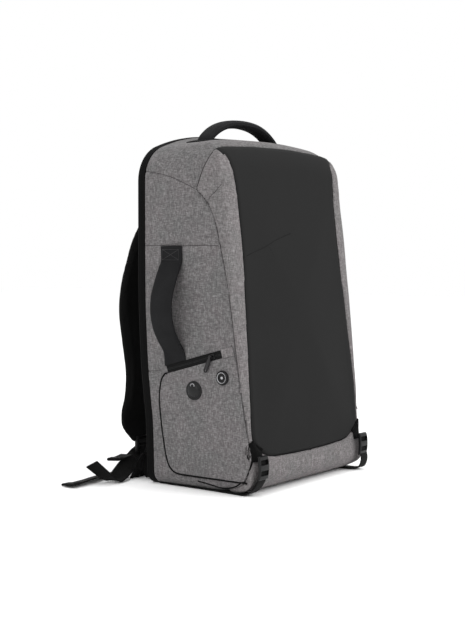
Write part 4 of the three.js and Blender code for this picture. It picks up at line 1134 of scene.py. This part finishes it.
# shoulder straps
strap = {
    "reach": 67, "padWide": 64, "padThick": 13, "swell": 3, "web": 25, "thick": 1.8,
    "pad": [(0.32, -0.05, 0.9, 0.85, 0.5), (0.33, 0.14, 0.895, 0.9, 0.6), (0.35, 0.25, 0.865, 0.95, 0.9),
            (0.4, 0.33, 0.8, 1, 1), (0.47, 0.5, 0.745, 1, 1), (0.54, 0.66, 0.69, 1, 1),
            (0.58, 0.83, 0.61, 1, 1),
            (0.59, 0.96, 0.53, 1, 1), (0.59, 0.97, 0.47, 1, 1), (0.59, 0.88, 0.39, 1, 1),
            (0.59, 0.78, 0.3, 1, 1),
            (0.6, 0.79, 0.23, 1, 1), (0.62, 0.85, 0.175, 1, 0.95), (0.6, 0.86, 0.14, 0.9, 0.85),
            (0.575, 0.77, 0.1, 0.6, 0.75)],
    "lock": (0.58, 0.73, 0.086), "lockWide": 34, "lockLong": 24, "lockThick": 5,
    "lower": [(0.82, 0.12, 0.075), (0.82, 0.26, 0.052), (0.82, 0.32, 0.034), (0.82, 0.38, 0.018),
              (0.83, 0.46, 0.002),
              (0.76, 0.44, 0.006), (0.67, 0.41, 0.024), (0.6, 0.54, 0.046), (0.57, 0.67, 0.061),
              (0.565, 0.73, 0.105)],
}
lockBehind = strap["lock"][1] + (strap["lockThick"] / 2 + 5 * 0.3 + strap["thick"] / 2) / strap["reach"]
tails = {
    "left": [(0.58, lockBehind, 0.1, 0, 0, 1), (0.58, lockBehind, 0.061, 0, 0, 1),
             (0.65, 0.78, 0.053, -0.3, -0.4, 1),
             (0.747, 0.69, 0.046, -0.6, -0.9, 1), (0.933, 0.55, 0.032, -0.62, -0.9, 1),
             (1.08, 0.455, 0.015, -0.85, -0.5, 1),
             (1.153, 0.44, 0.004, -1, 0, 1), (1.23, 0.5, 0.016, -1, 0.3, 1),
             (1.37, 0.66, 0.056, -1, 0.45, 1.4)],
    "right": [(0.58, lockBehind, 0.1, 0, 0, 1), (0.58, lockBehind, 0.065, 0, 0, 1),
              (0.5, 0.9, 0.026, 0.5, 0, 1),
              (0.3, 0.95, 0.004, 0.9, 0, 1), (-0.2, 1, 0, 1, 0, 1), (-0.8, 1.02, 0.005, 1, -0.18, 1),
              (-1.1, 0.98, 0.007, 1, -0.24, 1), (-1.32, 0.88, 0.007, 1, -0.22, 1),
              (-1.5, 0.83, 0.006, 1, -0.15, 1.1),
              (-1.53, 0.83, 0.006, 1, -0.14, 2), (-1.62, 0.84, 0.005, 1, -0.1, 2)],
    "short": [(0.7, 0.77, 0.07, 1, -0.05, 1), (0.81, 0.77, 0.059, 1, -0.05, 1),
              (0.88, 0.77, 0.056, 1, -0.08, 1),
              (0.935, 0.775, 0.054, 1, -0.1, 1.2), (0.95, 0.775, 0.054, 1, -0.1, 2.4),
              (1.01, 0.775, 0.053, 1, -0.1, 2.4)],
}
backFace = bag["back"] + bag["gussetDepth"]


def strapPlace(sign, out, behind, height):
    return Vector((sign * out * bag["half"], backFace + behind * strap["reach"], 1.05 + zAt(height)))


def webKeys(sign, rows):
    keys = []
    for out, behind, height, turn, tilt, thick in rows:
        angle = turn * math.pi / 2
        keys.append(stop(strapPlace(sign, out, behind, height), strap["web"], strap["thick"] * thick,
                         across=Vector((-sign * math.cos(angle), math.sin(angle), tilt))))
    return keys


def ladderLock(name, sign):
    centre = strapPlace(sign, *strap["lock"])
    block = boxOf(centre, (strap["lockWide"], strap["lockThick"], strap["lockLong"]))
    block.name = block.data.name = name
    for up, wide, tall in ((0.36, 27, 4.4), (0.0, 27, 3.6), (-0.3, 25, 4.8)):
        cutBox(block, centre + Vector((0, 0, up * strap["lockLong"])), (wide, 20, tall))
    roundEdges(block, 0.8, 3, 40)
    return block


def padSection(width, thick, count=26):
    # crowned pad with a flat bound edge on each side
    a, b = width / 2, thick / 2
    edge = min(2.7, b * 0.5)
    top = []
    for i in range(count + 1):
        x = -a + 2 * a * i / count
        share = abs(x) / a
        crown = (b - edge) * max(0.0, 1 - (share / 0.98) ** 7) if share < 0.98 else 0
        top.append((x * 0.995, edge + crown))
    low = [(x, -y) for x, y in reversed(top)]
    return low + [(-a, -edge * 0.5), (-a, edge * 0.5)] + top + [(a, edge * 0.5), (a, -edge * 0.5)]


for label, sign in (("Left", -1), ("Right", 1)):
    keys = [stop(strapPlace(sign, a, b, c), strap["padWide"] * w + strap["swell"], strap["padThick"] * t)
            for a, b, c, w, t in strap["pad"]]
    spots, sizes = routeOf(keys, 90, Vector((1, 0, 0)))
    kept = [i for i, (place, _, _) in enumerate(spots) if place.y > 107.5]
    spots, sizes = [spots[i] for i in kept], [sizes[i] for i in kept]
    pad = sweep("shoulderPad" + label, spots, [padSection(w, t) for w, t in sizes])
    smooth(pad, 50)
    ends = (spots[0][0].y, zAt(strap["lock"][2]) + 45)

    def loose(co, ends=ends):
        # how freely the pad swells: not where it is sewn in, nor near its buckle
        return min(max((co.y / mm - ends[0] - 8) / 25, 0), 1) * min(max((co.z / mm - ends[1]) / 30, 0), 1)

    puffed(pad, filling["strapVoxel"], filling["strapCap"], loose)
    pieces["shoulderPad" + label] = pad
    keys = [stop(strapPlace(sign, a, b, c), strap["web"], strap["thick"]) for a, b, c in strap["lower"]]
    lowerRoute, tailRoute = routeOf(keys, 80,
                                    Vector((1, 0, 0))), routeOf(webKeys(sign, tails[label.lower()]), 90)
    pieces["lowerWebbing" + label] = webbingPiece("lowerWebbing" + label, lowerRoute)
    pieces["strapTail" + label] = webbingPiece("strapTail" + label, tailRoute)
    pieces["ladderLock" + label] = ladderLock("ladderLock" + label, sign)
pieces["shortTail"] = webbingPiece("shortTail", routeOf(webKeys(-1, tails["short"][1:]), 30))
print("straps made")


# pieces copied from the frame and rounded
def roundedCopy(name, node, width, segments=2):
    settle()
    source = bpy.data.objects[node]
    piece = newPiece(name, source.data.copy())
    piece.data.name = name
    piece.data.materials.clear()

    def tidy():
        bpy.ops.mesh.remove_doubles(threshold=1e-6)
        bpy.ops.mesh.dissolve_limited(angle_limit=math.radians(3))
    editAll(piece, tidy)
    roundEdges(piece, width, segments, 35)
    return piece


pieces["zipSlider"] = roundedCopy("zipSliderDressed", "zip_slider", 0.25)
pieces["zipPull"] = roundedCopy("zipPullDressed", "zip_pull", 0.3)
for label in ("Left", "Right"):
    pieces["anchorWing" + label] = roundedCopy("anchorWing" + label, "anchor_wing_" + label.lower(), 0.8)


# shader maths as plain expressions
class Wire:
    def __init__(self, board, socket):
        self.board, self.socket = board, socket

    def math(self, kind, a, b):
        return self.board.node("ShaderNodeMath", {"operation": kind}, {0: a, 1: b})

    def __add__(self, other): return self.math("ADD", self, other)
    def __radd__(self, other): return self.math("ADD", other, self)
    def __sub__(self, other): return self.math("SUBTRACT", self, other)
    def __rsub__(self, other): return self.math("SUBTRACT", other, self)
    def __mul__(self, other): return self.math("MULTIPLY", self, other)
    def __rmul__(self, other): return self.math("MULTIPLY", other, self)
    def __truediv__(self, other): return self.math("DIVIDE", self, other)
    def __pow__(self, other): return self.math("POWER", self, other)


class Board:
    # one material's nodes
    def __init__(self, name):
        self.material = bpy.data.materials.new(name)
        self.material.use_nodes = True
        self.tree = self.material.node_tree
        self.shader = self.tree.nodes["Principled BSDF"]

    def node(self, kind, settings=None, inputs=None, output=0):
        made = self.tree.nodes.new(kind)
        for key, value in (settings or {}).items():
            if key == "stops":
                while len(made.color_ramp.elements) > 1:
                    made.color_ramp.elements.remove(made.color_ramp.elements[-1])
                made.color_ramp.elements[0].position = value[0][0]
                made.color_ramp.elements[0].color = value[0][1]
                for place, colour in value[1:]:
                    made.color_ramp.elements.new(place).color = colour
            else:
                setattr(made, key, value)
        for key, value in (inputs or {}).items():
            if isinstance(value, Wire):
                self.tree.links.new(value.socket, made.inputs[key])
            else:
                made.inputs[key].default_value = value
        return Wire(self, made.outputs[output])

    def set(self, name, value):
        if isinstance(value, Wire):
            self.tree.links.new(value.socket, self.shader.inputs[name])
        else:
            self.shader.inputs[name].default_value = value

    def place(self, kind="Object"):
        return self.node("ShaderNodeTexCoord", output=kind)

    def noise(self, place, scale, detail=2.0, rough=0.5, stretch=(1, 1, 1)):
        spread = self.node("ShaderNodeMapping", {}, {"Vector": place, "Scale": stretch})
        return self.node("ShaderNodeTexNoise", {"noise_dimensions": "3D"},
                         {"Vector": spread, "Scale": scale, "Detail": detail, "Roughness": rough})

    def bands(self, place, way, scale, distortion, **more):
        # parallel stripes for ribs and weave
        return self.node("ShaderNodeTexWave", {"wave_type": "BANDS", "bands_direction": way},
                         {"Vector": place, "Scale": scale, "Distortion": distortion, **more})

    def shades(self, share, colour, low, high):
        # the colour made darker and lighter
        self.set("Base Color",
                 self.blend(share, linear(*[c * low for c in colour]), linear(*[c * high for c in colour])))

    def finish(self, **values):
        # values that are the same all over, and the material itself
        names = {"rough": "Roughness", "sheen": "Sheen Weight", "specular": "Specular IOR Level"}
        for key, value in values.items():
            self.set(names[key], value)
        return self.material

    def limits(self, value, low, high, fromLow=0.0, fromHigh=1.0):
        return self.node("ShaderNodeMapRange", {"clamp": True},
                         {"Value": value, "From Min": fromLow, "From Max": fromHigh, "To Min": low,
                          "To Max": high})

    def blend(self, share, one, other):
        made = self.tree.nodes.new("ShaderNodeMix")
        made.data_type = "RGBA"
        for key, value in ((0, share), (6, one), (7, other)):
            if isinstance(value, Wire):
                self.tree.links.new(value.socket, made.inputs[key])
            else:
                made.inputs[key].default_value = value if key == 0 else (*value[:3], 1)
        return Wire(self, made.outputs[2])

    def bump(self, height, strength, distance):
        normal = self.node("ShaderNodeBump", {},
                           {"Height": height, "Strength": strength, "Distance": distance})
        self.set("Normal", normal)


def linear(r, g, b):
    # sRGB 0-255 to scene values
    return tuple((c / 255 / 12.92) if c / 255 <= 0.04045 else ((c / 255 + 0.055) / 1.055) ** 2.4
                 for c in (r, g, b))


# materials
def melange(name, dark, mid, light):
    # heathered cloth: fine warp and weft threads of slightly different greys, with slow mottling
    board = Board(name)
    place = board.place()
    warp = board.noise(place, 850, 2, 0.65, (1, 1, 0.18))
    weft = board.noise(place, 850, 2, 0.65, (0.2, 0.2, 1))
    slub = board.noise(place, 260, 2, 0.6, (1, 1, 0.6))
    patch = board.noise(place, 30, 3, 0.6)
    threads = board.limits(warp * 0.45 + weft * 0.45 + slub * 0.2 + patch * 0.08, 0, 1, 0.4, 0.78)
    tint = board.blend(board.limits(patch, 0, 1, 0.35, 0.65), linear(*mid),
                       linear(mid[0] + 2, mid[1] - 1, mid[2]))
    low = board.blend(board.limits(threads, 0, 1, 0, 0.5), linear(*dark), tint)
    colour = board.blend(board.limits(threads, 0, 1, 0.5, 1), low, linear(*light))
    board.set("Base Color", colour)
    weave, across = (board.bands(place, way, 330.0, 0.6, Detail=1.0) for way in ("Z", "DIAGONAL"))
    board.bump(weave * 0.5 + across * 0.5 + threads * 0.6, 0.3, 0.0004)
    return board.finish(rough=0.92, sheen=0.05, specular=0.15)


def coated(name, colour):
    # coated dark cloth with a faint grain and slow clouds
    board = Board(name)
    place = board.place()
    cloud = board.noise(place, 9, 3, 0.5)
    grain = board.noise(place, 900, 2, 0.5)
    board.shades(board.limits(cloud * 0.75 + grain * 0.25, 0, 1, 0.35, 0.65), colour, 0.93, 1.05)
    board.bump(grain * 0.6 + cloud * 0.3, 0.12, 0.0004)
    return board.finish(rough=board.limits(cloud + grain * 0.3, 0.66, 0.78, 0.4, 0.9), specular=0.08)


def darkWeave(name, colour, scale=520.0, rough=0.85, strength=0.4):
    board = Board(name)
    place = board.place()
    one, other = board.bands(place, "Z", scale, 0.3), board.bands(place, "DIAGONAL", scale * 0.9, 0.3)
    cloud = board.noise(place, 40, 3, 0.6)
    board.shades(board.limits(one * 0.4 + other * 0.4 + cloud * 0.6, 0, 1, 0.35, 1.1), colour, 0.7, 1.25)
    board.bump(one * other, strength, 0.0005)
    return board.finish(rough=rough, sheen=0.01, specular=0.06)


def webbingCloth(name, colour):
    # ribs run across the band, cords along it, and both follow the piece's own map
    board = Board(name)
    place = board.place("UV")
    ribs, cords = board.bands(place, "Y", 340.0, 0.2), board.bands(place, "X", 170.0, 0.2)
    cloud = board.noise(place, 60, 2, 0.6)
    board.shades(board.limits(ribs * 0.35 + cords * 0.35 + cloud * 0.6, 0, 1, 0.3, 1.0), colour, 0.6, 1.35)
    board.bump(ribs * 0.6 + cords * 0.4, 0.5, 0.0004)
    return board.finish(rough=0.75, sheen=0.02, specular=0.08)


def moulded(name, colour, rough=0.42):
    board = Board(name)
    place = board.place()
    cloud = board.noise(place, 120, 3, 0.6)
    grain = board.noise(place, 2200, 2, 0.5)
    board.shades(board.limits(cloud, 0, 1, 0.3, 0.7), colour, 0.85, 1.12)
    board.bump(grain * 0.6 + cloud * 0.2, 0.12, 0.0003)
    return board.finish(rough=board.limits(cloud, rough - 0.06, rough + 0.08, 0.3, 0.7), specular=0.22)


finishes = {
    "greyCloth": (melange, (60, 60, 60), (92, 91, 91), (128, 127, 127)),
    "lightCloth": (melange, (68, 66, 66), (99, 97, 97), (132, 130, 130)),
    "darkPanel": (coated, (28, 28, 28)),
    "trimCloth": (darkWeave, (9, 9, 9)),
    "gripCloth": (darkWeave, (27, 27, 28), 480.0, 0.8, 0.3),
    "padCloth": (darkWeave, (12, 12, 12), 420.0, 0.9, 0.5),
    "backMesh": (darkWeave, (40, 40, 41), 260.0, 0.9, 0.8),
    "webbing": (webbingCloth, (9, 9, 9)),
    "seamThread": (darkWeave, (52, 49, 50), 700.0, 0.9, 0.3),
    "lightThread": (darkWeave, (96, 93, 94), 700.0, 0.9, 0.3),
    "blackPlastic": (moulded, (11, 11, 12)),
    "capRubber": (moulded, (15, 15, 16), 0.36),
    "gripStitch": (darkWeave, (58, 57, 58), 700.0, 0.8, 0.3),
    # light grey glossy plastic: painted highlights on the cap's lip and on the socket's edge ring and pin
    "polishedTrim": (moulded, (150, 150, 152), 0.25),
    "zipCloth": (darkWeave, (17, 17, 17), 700.0, 0.7, 0.3),
    "pullLacquer": (moulded, (22, 21, 22), 0.2),
}
looks = {name: make(name, *values) for name, (make, *values) in finishes.items()}

# which node each piece stands for, its slot and its finish
dress = {
    "bagBody": ("main_shell", "grey_fabric", "greyCloth"),
    "bagBorder": ("front_border", "light_fabric", "lightCloth"),
    "bagFront": ("front_panel", "dark_fabric", "darkPanel"),
    "gussetBand": ("back_gusset", "trim_fabric", "trimCloth"),
    "backPad": ("back_panel", "trim_fabric", "backMesh"),
    "pocketPanel": ("pocket_panel", "grey_fabric", "greyCloth"),
    "zipTape": ("pocket_zip_tape", "webbing", "zipCloth"),
    "zipGarage": ("zip_garage", "grey_fabric", "lightCloth"),
    "pocketPiping": (None, "trim_fabric", "trimCloth"),
    "zipLipLow": (None, "webbing", "zipCloth"), "zipLipHigh": (None, "webbing", "zipCloth"),
    "zipCoilLow": (None, "webbing", "blackPlastic"), "zipCoilHigh": (None, "webbing", "blackPlastic"),
    "portCap": ("usb_port_cover", "black_plastic", "capRubber"),
    "audioRing": ("audio_port", "black_plastic", "blackPlastic"),
    "capHighlightLip": (None, "black_plastic", "polishedTrim"), "audioHighlightRing": (None, "black_plastic", "polishedTrim"),
    "audioHighlightPin": (None, "black_plastic", "polishedTrim"), "footPiping": (None, "trim_fabric", "trimCloth"),
    "footSeam": (None, "light_fabric", "lightThread"),
    "topHandle": ("top_handle", "webbing", "gripCloth"),
    "sideHandle": ("side_handle", "trim_fabric", "gripCloth"),
    "zipSlider": ("zip_slider", "black_plastic", "blackPlastic"),
    "zipPull": ("zip_pull", "pull_metal", "pullLacquer"),
    "shortTail": ("short_tail", "webbing", "webbing"),
}
for label in ("Left", "Right"):
    side = label.lower()
    dress["borderPiping" + label] = (None, "grey_fabric", "seamThread")
    dress["panelPiping" + label] = (None, "dark_fabric", "trimCloth")
for name in ("backSeamLeft", "backSeamRight", "backSeamLow", "backSeamHigh"):
    dress[name] = (None, "trim_fabric", "trimCloth")
for name in ("gripStitchBox", "gripStitchUp", "gripStitchDown"):
    dress[name] = (None, "trim_fabric", "gripStitch")
dress["frontSeam"] = (None, "dark_fabric", "trimCloth")
for label in ("Left", "Right"):
    side = label.lower()
    for key in sideSeams:
        dress[key + "Seam" + label] = (None, "grey_fabric", "seamThread")
    dress["handleTab" + label] = ("top_handle_tab_" + side, "webbing", "webbing")
    dress["baseStrap" + label] = ("base_strap_" + side, "webbing", "webbing")
    dress["cornerTab" + label] = ("corner_tab_" + side, "webbing", "trimCloth")
    dress["cornerBuckle" + label] = ("corner_buckle_" + side, "black_plastic", "blackPlastic")
    dress["shoulderPad" + label] = ("shoulder_pad_" + side, "webbing", "padCloth")
    dress["lowerWebbing" + label] = ("lower_webbing_" + side, "webbing", "webbing")
    dress["strapTail" + label] = ("strap_tail_" + side, "webbing", "webbing")
    dress["ladderLock" + label] = ("strap_buckle_" + side, "black_plastic", "blackPlastic")
    dress["anchorWing" + label] = ("anchor_wing_" + side, "trim_fabric", "trimCloth")
pieces["bagBody"], pieces["bagBorder"], pieces["bagFront"] = mainBody, frontBorder, frontPanel

for name, piece in pieces.items():
    node, slotName, look = dress[name]
    piece.data.materials.clear()
    piece.data.materials.append(looks[look])
    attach(piece, "zip_pull" if name == "zipPull" else "bag")
    if node:
        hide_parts(node)
print("pieces dressed")


# studio
def studio():
    settle()
    bpy.ops.mesh.primitive_plane_add(size=12, location=(0, 0, -0.0005))
    floor = bpy.context.active_object
    floor.name = "studioFloor"
    paint = Board("studioFloor")
    paint.set("Base Color", (1, 1, 1, 1))
    paint.set("Roughness", 0.9)
    paint.set("Specular IOR Level", 0.1)
    floor.data.materials.append(paint.material)
    floor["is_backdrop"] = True
    world = bpy.data.worlds.new("studioWorld")
    bpy.context.scene.world = world
    world.use_nodes = True
    world.node_tree.nodes["Background"].inputs["Color"].default_value = (1, 1, 1, 1)
    world.node_tree.nodes["Background"].inputs["Strength"].default_value = 1.0
    lamps = {
        "frontLight": ((0.9, -2.4, 1.9), (0, 0, 0.25), 45, 1.6),
        "leftLight": ((-2.4, -0.6, 1.6), (0, 0, 0.25), 22, 1.6),
        "topLight": ((0.2, 0.2, 2.8), (0, 0, 0.2), 20, 2.0),
    }
    for name, (place, target, power, size) in lamps.items():
        data = bpy.data.lights.new(name, "AREA")
        data.energy = power
        data.size = size
        lamp = bpy.data.objects.new(name, data)
        lamp.location = place
        lamp.rotation_euler = (Vector(target) - Vector(place)).to_track_quat("-Z", "Y").to_euler()
        bpy.context.scene.collection.objects.link(lamp)
    bpy.context.scene.view_settings.view_transform = "Standard"


studio()
settle()
sizes = {"cad": [list(p) for p in cadBox], "scene": [list(p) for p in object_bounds()]}
print("size", sizes)
